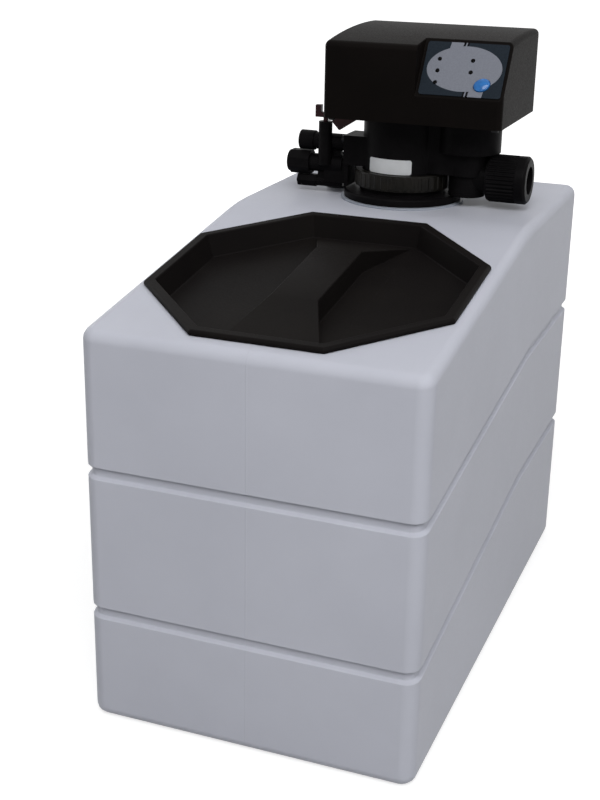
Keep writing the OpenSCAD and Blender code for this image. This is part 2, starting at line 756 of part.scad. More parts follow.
// Half outline of the tank's outside from the bottom pole to the neck, shrunk by a wall
dome_steps = 10;
function low_dome(e) = [for (p = ellipse_pts(tank_r - e, dome_h - e, -90, 0, dome_steps)) p + [0, dome_low]];
function dome_rise(e, r) = (dome_h - e)*sqrt(1 - pow(r/(tank_r - e), 2));
function tank_side(e, neck, top) = concat(
    low_dome(e),
    [for (p = ellipse_pts(tank_r - e, dome_h - e, 0, 90, dome_steps)) if (p[0] > neck + 1)
        p + [0, dome_high]],
    [[neck, dome_high + dome_rise(e, neck)], [neck, top], [0, top]]);
module resin_tank() color(straw) at_neck() difference() {
    rotate_extrude() polygon(tank_side(0, neck_r, flange_top - o_ring_d));
    rotate_extrude() polygon(tank_side(tank_wall, neck_r - neck_wall, flange_top));
}
boot_hole = 30;
boot_rows = low_dome(-seat_gap);
module tank_boot() color(soot) at_neck() rotate_extrude()
    polygon(concat([[boot_hole, wall], [tank_r + boot_t, wall], [tank_r + boot_t, wall + boot_h]],
        [for (k = [dome_steps:-1:0]) let (p = boot_rows[k])
            if (p[1] < wall + boot_h - 2 && p[0] > boot_hole + 1) p]));
basket_z = dome_low - dome_rise(tank_wall, basket_r) + free_gap;
basket_top = basket_z + basket_h;
resin_r = tank_r - tank_wall - seat_gap;
resin_hole = basket_r + free_gap;
module resin_bed() color(amber) at_neck() rotate_extrude()
    polygon(concat(
        [for (p = low_dome(tank_wall + seat_gap)) if (p[0] > resin_hole + 1) p],
        [[resin_r, resin_top], [riser_r + free_gap, resin_top], [riser_r + free_gap, basket_top + free_gap],
         [resin_hole, basket_top + free_gap],
         [resin_hole, dome_low - dome_rise(tank_wall + 1, resin_hole)]]));
module riser_tube() color(milk) at_neck() pipe_z(riser_low, body_z - 1, riser_r, riser_r - riser_wall);
module slots(n, z0, z1, r, w) {
    for (a = [0:360/n:359]) rotate(a) translate([r, -w/2, z0]) cube([10, w, z1 - z0]);
}
module bottom_basket() color(milk) at_neck() difference() {
    rod_z(basket_z, basket_top, basket_r);
    rod_z(basket_z + 2, riser_low - 2, basket_r - 2);
    rod_z(riser_low - 2 - past, riser_low, riser_r - riser_wall);
    rod_z(riser_low, basket_top + past, riser_r + push_gap);
    slots(16, basket_z + 5, riser_low - 4, basket_r - 4, 1.2);
}
top_basket_h = 30;
module top_basket() color(milk) at_neck() difference() {
    rod_z(spigot_z - top_basket_h, spigot_z, spigot_r - 1);
    rod_z(spigot_z - top_basket_h + 2, spigot_z + past, spigot_r - 3);
    rod_z(spigot_z - top_basket_h - past, spigot_z, riser_r + push_gap);
    slots(16, spigot_z - top_basket_h + 4, spigot_z - 4, spigot_r - 5, 1.2);
}
module riser_o_ring() color(ink) at_neck() rotate_extrude()
    translate([riser_r + push_gap + 1.3, spigot_z + 1.6]) circle(r = 1.3);
module neck_o_ring() color(ink) at_neck() rotate_extrude()
    translate([neck_r - neck_wall/2, flange_top - o_ring_d/2]) circle(r = o_ring_d/2 - run_gap);

module tank_adapter() color(ink) at_neck() rotate_extrude()
    polygon([[neck_r + push_gap, flange_z - skirt_h], [neck_r + skirt_t, flange_z - skirt_h],
             [neck_r + skirt_t, flange_z],
             [flange_r, flange_z], [flange_r, flange_top - 1.2], [flange_r - 1.2, flange_top],
             [collar_r, flange_top], [collar_r, body_z], [spigot_r + push_gap, body_z],
             [spigot_r + push_gap, flange_top], [neck_r + push_gap, flange_top]]);
module coupling_ring() color(soot) at_neck() difference() {
    union() {
        rod_z(ring_z, ring_z + ring_h, ring_r - 0.6);
        translate([0, 0, ring_z + 1.5]) linear_extrude(ring_h - 3)
            polygon(ribbed_pts(ring_r, 0.8, ring_ribs));
    }
    rod_z(ring_z - past, ring_z + ring_h - ring_lip, collar_r + free_gap);
    rod_z(ring_z, ring_z + ring_h + past, body_r + free_gap);
}

module valve_body() color(ink) difference() {
    union() {
        at_neck() {
            rod_z(body_z, head_z, body_r);
            rod_z(body_z, body_z + foot_t, collar_r);
            rod_z(spigot_z, body_z, spigot_r);
            translate([0, 0, inlet_z]) rod_y(0, inlet_start + nut_l - nut_wall - 2, port_r);
            translate([0, -turret_fwd - web_w/2, turret_foot]) cube([turret_x, web_w, head_z - turret_foot]);
            translate([0, 0, inlet_z]) rod_y(0, inlet_start - 2, port_r + 3);
        }
        at_turret() {
            rod_z(turret_z, head_z, turret_r);
            rod_z(turret_foot, turret_z, turret_waist);
            rod_z(cup_z, turret_foot, cup_r);
            translate([0, 0, outlet_z]) rod_x(0, port_end - turret_x, port_r);
        }
        translate([pad_x, neck_y - inj_fwd - plate_half, plate_low])
            cube([-pad_x, 2*plate_half, plate_high - plate_low]);
    }
    at_neck() {
        rod_z(bore_z, head_z + past, bore_r);
        rod_z(body_z - past, bore_z + past, riser_r - riser_wall - 1);
        rod_z(spigot_z - past, body_z, riser_r + push_gap);
        rod_z(spigot_z - past, spigot_z + 3.2, riser_r + push_gap + 2.8);
        translate([0, 0, inlet_z]) rod_y(0, inlet_start + nut_l, port_bore);
        translate([0, -turret_fwd, passage_z]) rod_x(0, turret_x, passage_r);
    }
    at_turret() {
        rod_z(cup_z - past, head_z - 7, chamber_r);
        translate([0, 0, outlet_z]) rod_x(0, port_end, port_bore);
    }
    at_injector() {
        translate([0, 0, inj_z]) rod_x(pad_x - past, 0, 3);
        for (s = pad_screws) translate([0, s[0], s[1]])
            rod_x(pad_x - past, pad_x + 9, pad_screw_r + push_gap);
    }
}

module seal_spacers() color(milk) at_neck() for (i = [0:seal_n - 2]) difference() {
    z = bore_z + seal_t + i*(seal_t + spacer_t);
    pipe_z(z, z + spacer_t, bore_r - push_gap, bore_r - 3);
    slots(8, z + 1.5, z + spacer_t - 1.5, bore_r - 4, 5);
}
module piston_seals() color(ink) at_neck() for (i = [0:seal_n - 1]) {
    z = bore_z + i*(seal_t + spacer_t);
    pipe_z(z, z + seal_t, bore_r - push_gap, piston_r + free_gap);
}
module end_plug() color(soot) at_neck() difference() {
    union() {
        rod_z(stack_top, head_z, bore_r - push_gap);
        rod_z(head_z, head_z + plug_t, plug_r);
        rod_z(head_z, head_z + plug_t + boss_h, boss_r);
    }
    rod_z(bore_z, base_z + 2*boss_h, rod_r + run_gap);
}
module main_piston() color(milk) at_neck() difference() {
    rotate_extrude() polygon([[0, piston_z], [piston_r, piston_z], [piston_r, piston_z + piston_l/4],
        [piston_r - 4, piston_z + piston_l/4 + 3], [piston_r - 4, piston_z + piston_l*3/4 - 3],
        [piston_r, piston_z + piston_l*3/4], [piston_r, piston_z + piston_l], [0, piston_z + piston_l]]);
    rod_z(piston_z + piston_l - 8, piston_z + piston_l + past, rod_r + run_gap);
}
module piston_rod() color(steel) at_neck() rod_z(piston_z + piston_l - 8, rod_top, rod_r);
module rod_arm() color(soot) at_neck() difference() {
    translate([0, 0, arm_z]) linear_extrude(arm_t)
        polygon(rounded(box_pts(guide_x - arm_w/2, -arm_w/2, arm_w/2 + 1, arm_w/2), 4));
    rod_z(arm_z - past, rod_top + past, rod_r + run_gap);
    translate([guide_x, 0, 0]) rod_z(arm_z - past, rod_top + past, guide_r + run_gap);
}

base_gap = head_wall + 0.5;
module drive_base() color(soot) difference() {
    translate([0, neck_y, head_z]) linear_extrude(base_t)
        polygon(rounded(box_pts(base_gap - head_left, base_gap - head_front, head_right - base_gap,
                                head_back - base_gap), head_edge - 2));
    at_neck() rod_z(head_z - past, base_z + past, plug_r + free_gap);
    at_neck() for (s = screw_spots) translate(s) rod_z(head_z - past, base_z + past, screw_r + push_gap);
}
module guide_post() color(steel) translate([guide_x, neck_y, 0]) rod_z(base_z, guide_top, guide_r);
module idler_pin() color(steel) at_idler() {
    rod_z(base_z, wheel_z + wheel_t + 2, idler_pin_r);
    rod_z(wheel_z + wheel_t + free_gap, wheel_z + wheel_t + 2, idler_pin_r + 1.2);
}
module drive_gear() color(milk) at_neck() difference() {
    union() {
        rod_z(hub_z, hub_top, hub_r);
        translate([0, 0, gear_z]) rotate(idler_dir) linear_extrude(gear_t) polygon(gear_pts(drive_teeth));
    }
    rod_z(hub_z - past, hub_top + past, rod_r + run_gap);
    rod_z(hub_z - past, head_z + plug_t + boss_h + free_gap, boss_r + run_gap);
    for (a = [0:60:300]) rotate(a) translate([(hub_r + drive_r)/2, 0, 0])
        rod_z(gear_z - past, gear_z + gear_t + past, 4);
}
module idler_gear() color(milk) at_idler() difference() {
    union() {
        rod_z(base_z + free_gap, wheel_z, idler_pin_r + 2);
        translate([0, 0, gear_z - 0.5]) rotate(idler_dir + 180 + 180/pinion_teeth)
            linear_extrude(wheel_z - gear_z + 0.5) polygon(gear_pts(pinion_teeth));
        translate([0, 0, wheel_z]) rotate(motor_dir) linear_extrude(wheel_t) polygon(gear_pts(wheel_teeth));
    }
    rod_z(base_z, wheel_z + wheel_t + past, idler_pin_r + run_gap);
}
motor_top = base_z + motor_h + 1.5;
module drive_motor() color(steel) at_motor() difference() {
    union() {
        rod_z(base_z, base_z + motor_h, motor_r);
        rod_z(base_z + motor_h, motor_top, 4);
    }
    rod_z(motor_top - 8, motor_top + past, motor_pin_r + run_gap);
}
module motor_pinion() color(straw) at_motor() {
    rod_z(motor_top - 7, motor_top + 1, motor_pin_r);
    rod_z(motor_top + free_gap, wheel_z - 0.5, 2*motor_pin_r);
    translate([0, 0, wheel_z - 0.5]) rotate(motor_dir + 180 + 180/pinion_teeth) linear_extrude(wheel_t + 1)
        polygon(gear_pts(pinion_teeth));
}

// Outline of the cover from the side, drawn in by e, with its crowned top
function cover_side(e) =
    let (y0 = e - head_front, y1 = head_back - e, front = head_z + head_front_h - e,
         back = head_z + head_back_h - e, r = head_edge - e/2, n = 6)
    concat(
        [[y0, head_z - past], [y1, head_z - past]],
        round_corner([y1, head_z], [y1, back], [y1 - 20, back], r, 4),
        [for (i = [n - 1:-1:1]) let (t = i/n)
            [y0 + (y1 - y0)*t, front + (back - front)*t + 4*head_crown*t*(1 - t)]],
        round_corner([y0 + 20, front + head_crown], [y0, front], [y0, head_z], r, 4));
module cover_block(e) {
    x0 = e - head_left;
    x1 = head_right - e;
    y0 = e - head_front;
    y1 = head_back - e;
    top = head_z + head_back_h + 2*head_crown;
    intersection() {
        along_x(x0, x1) polygon(cover_side(e));
        translate([0, 0, head_z - (e > 0 ? past : 0)]) linear_extrude(top - head_z)
            polygon(rounded(box_pts(x0, y0, x1, y1), head_edge - e/2));
    }
}
module slope_cut(e) {
    translate([slope_x - e, -head_front, slope_z]) rotate([90 - slope_lean, 0, 0]) translate([0, -60, -e])
        cube([120, 180, 60]);
}
module cover_form(e) {
    difference() {
        cover_block(e);
        slope_cut(e);
    }
}
module button_oval(a, b) rotate(button_tilt) polygon(ellipse_pts(a, b, 0, 345, 23));
module head_cover() color(ink) difference() {
    union() {
        at_neck() difference() {
            cover_form(0);
            cover_form(head_wall);
        }
        intersection() {
            at_neck() cover_block(0);
            at_neck() for (s = screw_spots) translate(s) rod_z(base_z, base_z + screw_boss_h, 4.5);
        }
        at_panel() for (p = board_posts) translate([p[0], p[1], -board_back])
            cylinder(h = board_back - 1, r = 2);
    }
    at_neck() for (s = screw_spots) translate(s) rod_z(head_z, base_z + screw_boss_h - 2, screw_r + push_gap);
    at_panel() for (p = led_spots) translate([p[0], p[1], -head_wall - past])
        cylinder(h = 3*head_wall, r = led_r + push_gap);
    at_panel() translate([button_spot[0], button_spot[1], -head_wall - past]) linear_extrude(3*head_wall)
        button_oval(button_a + free_gap, button_b + free_gap);
    at_neck() translate([inlet_jack[0], 0, inlet_jack[1]])
        rod_y(head_back - 2*head_wall, head_back + past, jack_r + push_gap);
}
module cover_screws() color(steel) at_neck() for (s = screw_spots) translate(s) {
    rod_z(head_z - 2, head_z, 2.8);
    rod_z(head_z, base_z + screw_boss_h - 4, screw_r);
}
module display_panel() color(slate) at_panel() difference() {
    linear_extrude(panel_t) polygon(rounded(box_pts(-panel_w/2, 0, panel_w/2, panel_h), 2));
    for (p = led_spots) translate([p[0], p[1], -past]) cylinder(h = 3*past, r = led_r + push_gap);
    translate([button_spot[0], button_spot[1], -past]) linear_extrude(3*past)
        button_oval(button_a + free_gap, button_b + free_gap);
}
module panel_leds() color(soot) at_panel() for (p = led_spots) translate([p[0], p[1], -board_back])
    cylinder(h = board_back + panel_t + led_proud, r = led_r);
button_low = switch_t + free_gap + button_travel - board_back;
button_top = button_travel + panel_t;
module panel_button() color(blue) at_panel() translate([button_spot[0], button_spot[1], 0]) {
    translate([0, 0, button_low]) linear_extrude(button_top - button_low) button_oval(button_a, button_b);
    translate([0, 0, button_top]) linear_extrude(1, scale = 0.72) button_oval(button_a, button_b);
    translate([0, 0, -head_wall - free_gap - lip_t]) linear_extrude(lip_t)
        button_oval(button_a + button_lip, button_b + button_lip);
}
module circuit_board() color(green) at_panel() translate([0, 0, -board_back - board_t]) {
    translate([-board_w/2, 1, 0]) cube([board_w, panel_h - 5, board_t]);
    translate([button_spot[0] - 3, button_spot[1] - 3, board_t]) cube([6, 6, switch_t]);
}
module power_inlet() color(soot) translate([inlet_jack[0], neck_y + head_back, inlet_jack[1]]) difference() {
    union() {
        rod_y(0, 1.6, jack_r + 2);
        rod_y(-jack_l, 0, jack_r);
    }
    rod_y(2 - jack_l, 2, jack_bore);
}
label_from = 182 + asin((inj_fwd + plate_half)/body_r);
label_to = 287;
module blank_label() color("white") at_neck() rotate(label_from)
    rotate_extrude(angle = label_to - label_from)
    translate([body_r + run_gap, ring_z + ring_h + 3]) square([0.3, 15]);

module turret_plug() color(ink) at_turret() {
    rod_z(flange_top + 2*free_gap, cup_z, cup_r);
    rod_z(cup_z, cup_z + 5, chamber_r - push_gap);
    rod_z(cup_z + 5, turbine_z - free_gap, 3);
    rod_z(turbine_z - free_gap, turbine_z + turbine_h + 3, turbine_pin_r);
}
module turbine_rotor() color(milk) at_turret() difference() {
    union() {
        rod_z(turbine_z, turbine_z + turbine_h, 4);
        for (a = [0:360/blade_n:359]) rotate(a) translate([0, -blade_t/2, turbine_z + 1])
            rotate([blade_lean, 0, 0]) cube([blade_l, blade_t, blade_h]);
    }
    rod_z(turbine_z - past, turbine_z + turbine_h + past, turbine_pin_r + run_gap);
}
// Union nut along +Z from its open end, ribbed, with a plain chamfered end
module union_nut() difference() {
    union() {
        cylinder(h = nut_l - 9, r = nut_r - 0.9);
        translate([0, 0, 1.5]) linear_extrude(nut_l - 11) polygon(ribbed_pts(nut_r, 0.9, nut_ribs));
        translate([0, 0, nut_l - 9]) cylinder(h = 7, r = nut_r);
        translate([0, 0, nut_l - 2]) cylinder(h = 2, r1 = nut_r, r2 = nut_r - 2);
    }
    translate([0, 0, -past]) cylinder(h = nut_l - nut_wall + past, r = port_r + free_gap);
    cylinder(h = nut_l + past, r = tail_r);
}
module outlet_nut() color(ink) at_turret() {
    translate([nut_start - turret_x, 0, outlet_z]) rotate([0, 90, 0]) union_nut();
}
module inlet_nut() color(ink) at_neck() {
    translate([0, inlet_start, inlet_z]) rotate([-90, 0, 0]) union_nut();
}

module injector_body() color(ink) at_injector() difference() {
    union() {
        translate([barrel_start, -plate_half, plate_low])
            cube([plate_t, 2*plate_half, plate_high - plate_low]);
        translate([0, 0, inj_z]) rod_x(inj_end, barrel_start, inj_r);
        translate([0, 0, drain_z]) rod_x(drain_end, barrel_start - 4, drain_r);
        translate([0, 0, brine_z]) rod_x(brine_end - 6, barrel_start - 6, brine_r);
        translate([brine_end + 1, -web_half, brine_z])
            cube([barrel_start - brine_end - 7, 2*web_half, inj_z - brine_z]);
        translate([-post_x, -post_fwd, 0]) rod_z(drain_z, post_top, post_r);
        translate([drain_barb_x, 0, drain_z]) rod_y(0, drain_barb_y, drain_barb_r + 1.5);
        translate([elbow_x, 0, brine_z]) rod_y(0, brine_r + 3, brine_r);
    }
    translate([0, 0, inj_z]) rod_x(inj_end - past, barrel_start + plate_t + past, inj_bore);
    translate([0, 0, drain_z]) rod_x(drain_end - past, barrel_start - 9, drain_r - 2.5);
    translate([0, 0, brine_z]) rod_x(brine_end - 6 - past, barrel_start - 10, brine_r - 2);
    translate([-post_x, -post_fwd, 0]) rod_z(spring_z, post_top - post_lip, post_bore);
    translate([-post_x, -post_fwd, 0]) rod_z(spring_z, post_top + past, stem_r + run_gap);
    translate([drain_barb_x, 0, drain_z]) rod_y(0, drain_barb_y + past, drain_barb_r - 2);
    translate([elbow_x, 0, brine_z]) rod_y(0, brine_r + 3 + past, brine_r - 2);
    for (s = pad_screws) translate([0, s[0], s[1]])
        rod_x(barrel_start - past, pad_x + past, pad_screw_r + push_gap);
}
module injector_screws() color(steel) at_injector() for (s = pad_screws) translate([0, s[0], s[1]]) {
    rod_x(barrel_start - 2, barrel_start, 2*pad_screw_r);
    rod_x(barrel_start, pad_x + 8, pad_screw_r);
}
module injector_nozzle() color(milk) at_injector() translate([0, 0, inj_z]) difference() {
    rod_x(inj_end + 20, inj_end + 34, inj_bore - push_gap);
    rod_x(inj_end + 20 - past, inj_end + 35, 1);
}
module injector_cap() color(ink) at_injector() translate([0, 0, inj_z]) difference() {
    rod_x(inj_end - cap_end, inj_end + cap_over, inj_r + cap_wall);
    rod_x(inj_end, inj_end + cap_over + past, inj_r + push_gap);
}
module drain_cap() color(ink) at_injector() translate([0, 0, drain_z]) difference() {
    union() {
        translate([drain_end - 15, 0, 0]) rotate([22.5, 0, 0]) rotate([0, 90, 0])
            cylinder(h = 15 + cap_end, r = drain_r + 3.2, $fn = 8);
        rod_x(drain_end - 17, drain_end - 15, drain_r + 1.5);
    }
    rod_x(drain_end, drain_end + cap_end + past, drain_r + push_gap);
}
module drain_barb() color(soot) at_injector() translate([drain_barb_x, 0, drain_z]) difference() {
    union() {
        rod_y(drain_barb_y, drain_barb_y + 3, drain_barb_r + 2);
        rod_y(drain_barb_y + 3, drain_barb_y + 3 + drain_barb_l, drain_barb_r);
    }
    rod_y(0, drain_barb_y + 4 + drain_barb_l, drain_barb_r - 2);
}
module brine_nut() color(ink) at_injector() translate([0, 0, brine_z]) difference() {
    translate([brine_end - 17, 0, 0]) rotate([30, 0, 0]) rotate([0, 90, 0])
        cylinder(h = 17, r = brine_r + cap_wall, $fn = 6);
    rod_x(brine_end - 6, brine_end + past, brine_r + push_gap);
}
module brine_elbow() color(ink) difference() {
    union() {
        at_injector() translate([elbow_x, 0, brine_z]) rod_y(brine_r + 3, inj_fwd + elbow_back, brine_r);
        translate([elbow_x, neck_y + elbow_back, 0]) rod_z(deck_h + 3, brine_z + 6, tube_r + 2.8);
    }
    translate([elbow_x, neck_y + elbow_back, 0]) rod_z(deck_h, brine_z + 1 + push_gap, tube_r + free_gap);
    at_injector() translate([elbow_x, 0, brine_z]) rod_y(0, inj_fwd + elbow_back, brine_r - 2);
}
module bleed_stem() color(rust) at_post() {
    rod_z(stem_z, stem_z + stem_foot, post_bore - run_gap);
    rod_z(stem_z + stem_foot, lever_low + 1, stem_r);
    rotate([90, 0, 0]) translate([0, 0, -lever_t/2]) linear_extrude(lever_t) polygon([
        [-post_r - 2.8, lever_low], [post_r + lever_gap, lever_low], [post_r + lever_gap, post_top],
        [lever_l/2 - 0.6, post_top - 6.5], [lever_l, lever_low - lever_gap], [lever_l, lever_low + lever_h],
        [2.1 - post_r, lever_low + lever_h], [2.1 - post_r, lever_low + 2.5*lever_h],
        [-post_r - 2.8, lever_low + 2.5*lever_h]]);
}
module bleed_spring() color(steel) at_post() pipe_z(spring_z, stem_z, post_bore - free_gap, stem_r);

cabinet_shell();
salt_lid();
neck_trim_ring();
salt_grid();
grid_legs();
brine_well();
brine_well_cap();
air_check();
float_rod();
brine_float();
brine_tube();
tube_grommet();
overflow_elbow();
overflow_nut();
tank_boot();
resin_tank();
resin_bed();
riser_tube();
bottom_basket();
top_basket();
riser_o_ring();
neck_o_ring();
tank_adapter();
coupling_ring();
valve_body();
seal_spacers();
piston_seals();
end_plug();
main_piston();
piston_rod();
rod_arm();
drive_base();
guide_post();
idler_pin();
drive_gear();
idler_gear();
drive_motor();
motor_pinion();
head_cover();
cover_screws();
display_panel();
panel_leds();
panel_button();
circuit_board();
power_inlet();
blank_label();
turret_plug();
turbine_rotor();
outlet_nut();
inlet_nut();
injector_body();
injector_screws();
injector_nozzle();
injector_cap();
drain_cap();
drain_barb();
brine_nut();
brine_elbow();
bleed_stem();
bleed_spring();
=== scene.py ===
import json
import math

import bmesh
import bpy
from mathutils import Matrix, Vector


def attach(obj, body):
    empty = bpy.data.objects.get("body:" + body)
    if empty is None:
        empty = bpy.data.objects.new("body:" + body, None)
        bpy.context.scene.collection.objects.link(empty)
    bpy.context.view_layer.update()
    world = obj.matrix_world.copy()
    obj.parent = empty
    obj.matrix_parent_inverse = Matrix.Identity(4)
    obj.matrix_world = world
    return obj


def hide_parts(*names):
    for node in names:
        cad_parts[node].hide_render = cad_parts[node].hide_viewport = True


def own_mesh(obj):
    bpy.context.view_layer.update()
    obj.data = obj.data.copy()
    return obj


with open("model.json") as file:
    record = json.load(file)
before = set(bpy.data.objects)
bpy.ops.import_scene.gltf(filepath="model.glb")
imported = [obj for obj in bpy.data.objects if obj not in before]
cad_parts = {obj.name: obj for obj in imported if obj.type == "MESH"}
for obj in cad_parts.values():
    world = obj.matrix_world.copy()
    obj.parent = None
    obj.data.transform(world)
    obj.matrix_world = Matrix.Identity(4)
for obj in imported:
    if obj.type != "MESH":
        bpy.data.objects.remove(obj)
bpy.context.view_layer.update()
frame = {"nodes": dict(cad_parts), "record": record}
nodes = frame["nodes"]
bodyOf = {name: body for body, members in frame["record"]["behaviour"]["bodies"].items() for name in members}
scene = bpy.context.scene
mm = 0.001
print("frame loaded with", len(nodes), "nodes")


# camera, as the photograph was taken

photoView = {"place": (0.3356, -1.0003, 0.5843), "yaw": 21.05, "pitch": 20.42, "roll": 1.01,
             "lens": 62.08, "sensor": 36.0}


def placeCamera(v):
    yaw, pitch, roll = (math.radians(v[k]) for k in ("yaw", "pitch", "roll"))
    ahead = Vector((-math.sin(yaw)*math.cos(pitch), math.cos(yaw)*math.cos(pitch), -math.sin(pitch)))
    right = Vector((math.cos(yaw), math.sin(yaw), 0))
    up = right.cross(ahead)
    side = right*math.cos(roll) + up*math.sin(roll)
    top = up*math.cos(roll) - right*math.sin(roll)
    turn = Matrix((side, top, -ahead)).transposed().to_4x4()
    bpy.ops.object.camera_add()
    camera = bpy.context.active_object
    camera.name = "photoCamera"
    camera.data.sensor_fit = "VERTICAL"
    camera.data.sensor_height = v["sensor"]
    camera.data.lens = v["lens"]
    camera.matrix_world = Matrix.Translation(v["place"]) @ turn
    scene.camera = camera


bpy.ops.object.select_all(action="DESELECT")
placeCamera(photoView)
print("camera placed")


# materials

def srgb(code):
    rgb = [int(code[i:i + 2], 16)/255 for i in (1, 3, 5)]
    return tuple(c/12.92 if c <= 0.04045 else ((c + 0.055)/1.055)**2.4 for c in rgb) + (1.0,)


def addNode(tree, kind, settings=None, links=None):
    node = tree.nodes.new(kind)
    for key, value in (settings or {}).items():
        if isinstance(key, int) or key in node.inputs:
            node.inputs[key].default_value = value
        else:
            setattr(node, key, value)
    for key, source in (links or {}).items():
        tree.links.new(source, node.inputs[key])
    return node


def newMaterial(name):
    material = bpy.data.materials.new(name)
    material.use_nodes = True
    tree = material.node_tree
    tree.nodes.clear()
    shader = addNode(tree, "ShaderNodeBsdfPrincipled")
    addNode(tree, "ShaderNodeOutputMaterial", links={"Surface": shader.outputs["BSDF"]})
    return material, tree, shader


pattern = {"stops": (0.35, 0.68), "patch": (3.0, 0.55), "grain": (2.0, 0.6), "glossFrom": (0.3, 0.7),
           "tooth": 0.25, "waveDetail": 1.0, "swell": 0.3, "line": 0.5}


def surface(name, look):
    # patch: size of the soft two-tone mottle; grain: the mould's fine tooth; wave: slow swell of the skin
    material, tree, shader = newMaterial(name)
    for key, value in look.get("shader", {}).items():
        shader.inputs[key].default_value = value
    place = addNode(tree, "ShaderNodeTexCoord").outputs["Object"]
    noises = {}
    for key in ("patch", "grain"):
        detail, rough = pattern[key]
        noises[key] = addNode(tree, "ShaderNodeTexNoise",
                              {"Scale": 1/(look[key]*mm), "Detail": detail, "Roughness": rough},
                              {"Vector": place}).outputs["Fac"]
    share = addNode(tree, "ShaderNodeMapRange",
                    {"From Min": pattern["stops"][0], "From Max": pattern["stops"][1]},
                    {"Value": noises["patch"]})
    tones = addNode(tree, "ShaderNodeMix",
                    {"data_type": "RGBA", 6: srgb(look["tones"][0]), 7: srgb(look["tones"][1])},
                    {0: share.outputs["Result"]})
    tree.links.new(tones.outputs[2], shader.inputs["Base Color"])
    gloss = addNode(tree, "ShaderNodeMapRange",
                    {"From Min": pattern["glossFrom"][0], "From Max": pattern["glossFrom"][1],
                     "To Min": look["rough"][0], "To Max": look["rough"][1]}, {"Value": noises["grain"]})
    tree.links.new(gloss.outputs["Result"], shader.inputs["Roughness"])
    tooth = addNode(tree, "ShaderNodeBump", {"Strength": pattern["tooth"], "Distance": look["depth"]*mm},
                    {"Height": noises["grain"]})
    normal = tooth.outputs["Normal"]
    if "wave" in look:
        slow = addNode(tree, "ShaderNodeTexNoise",
                       {"Scale": 1/(look["wave"]*mm), "Detail": pattern["waveDetail"]}, {"Vector": place})
        swell = addNode(tree, "ShaderNodeBump",
                        {"Strength": pattern["swell"], "Distance": look["waveDepth"]*mm},
                        {"Height": slow.outputs["Fac"], "Normal": normal})
        normal = swell.outputs["Normal"]
    if "seam" in look:  # parting line where the two mould halves met
        across = addNode(tree, "ShaderNodeSeparateXYZ", links={"Vector": place})
        off = addNode(tree, "ShaderNodeMath", {"operation": "ABSOLUTE"}, {0: across.outputs["X"]})
        rise = addNode(tree, "ShaderNodeMapRange",
                       {"From Min": 0.0, "From Max": look["seam"]*mm, "To Min": 1.0, "To Max": 0.0},
                       {"Value": off.outputs["Value"]})
        line = addNode(tree, "ShaderNodeBump",
                       {"Strength": pattern["line"], "Distance": look["seamDepth"]*mm},
                       {"Height": rise.outputs["Result"], "Normal": normal})
        normal = line.outputs["Normal"]
    tree.links.new(normal, shader.inputs["Normal"])
    return material


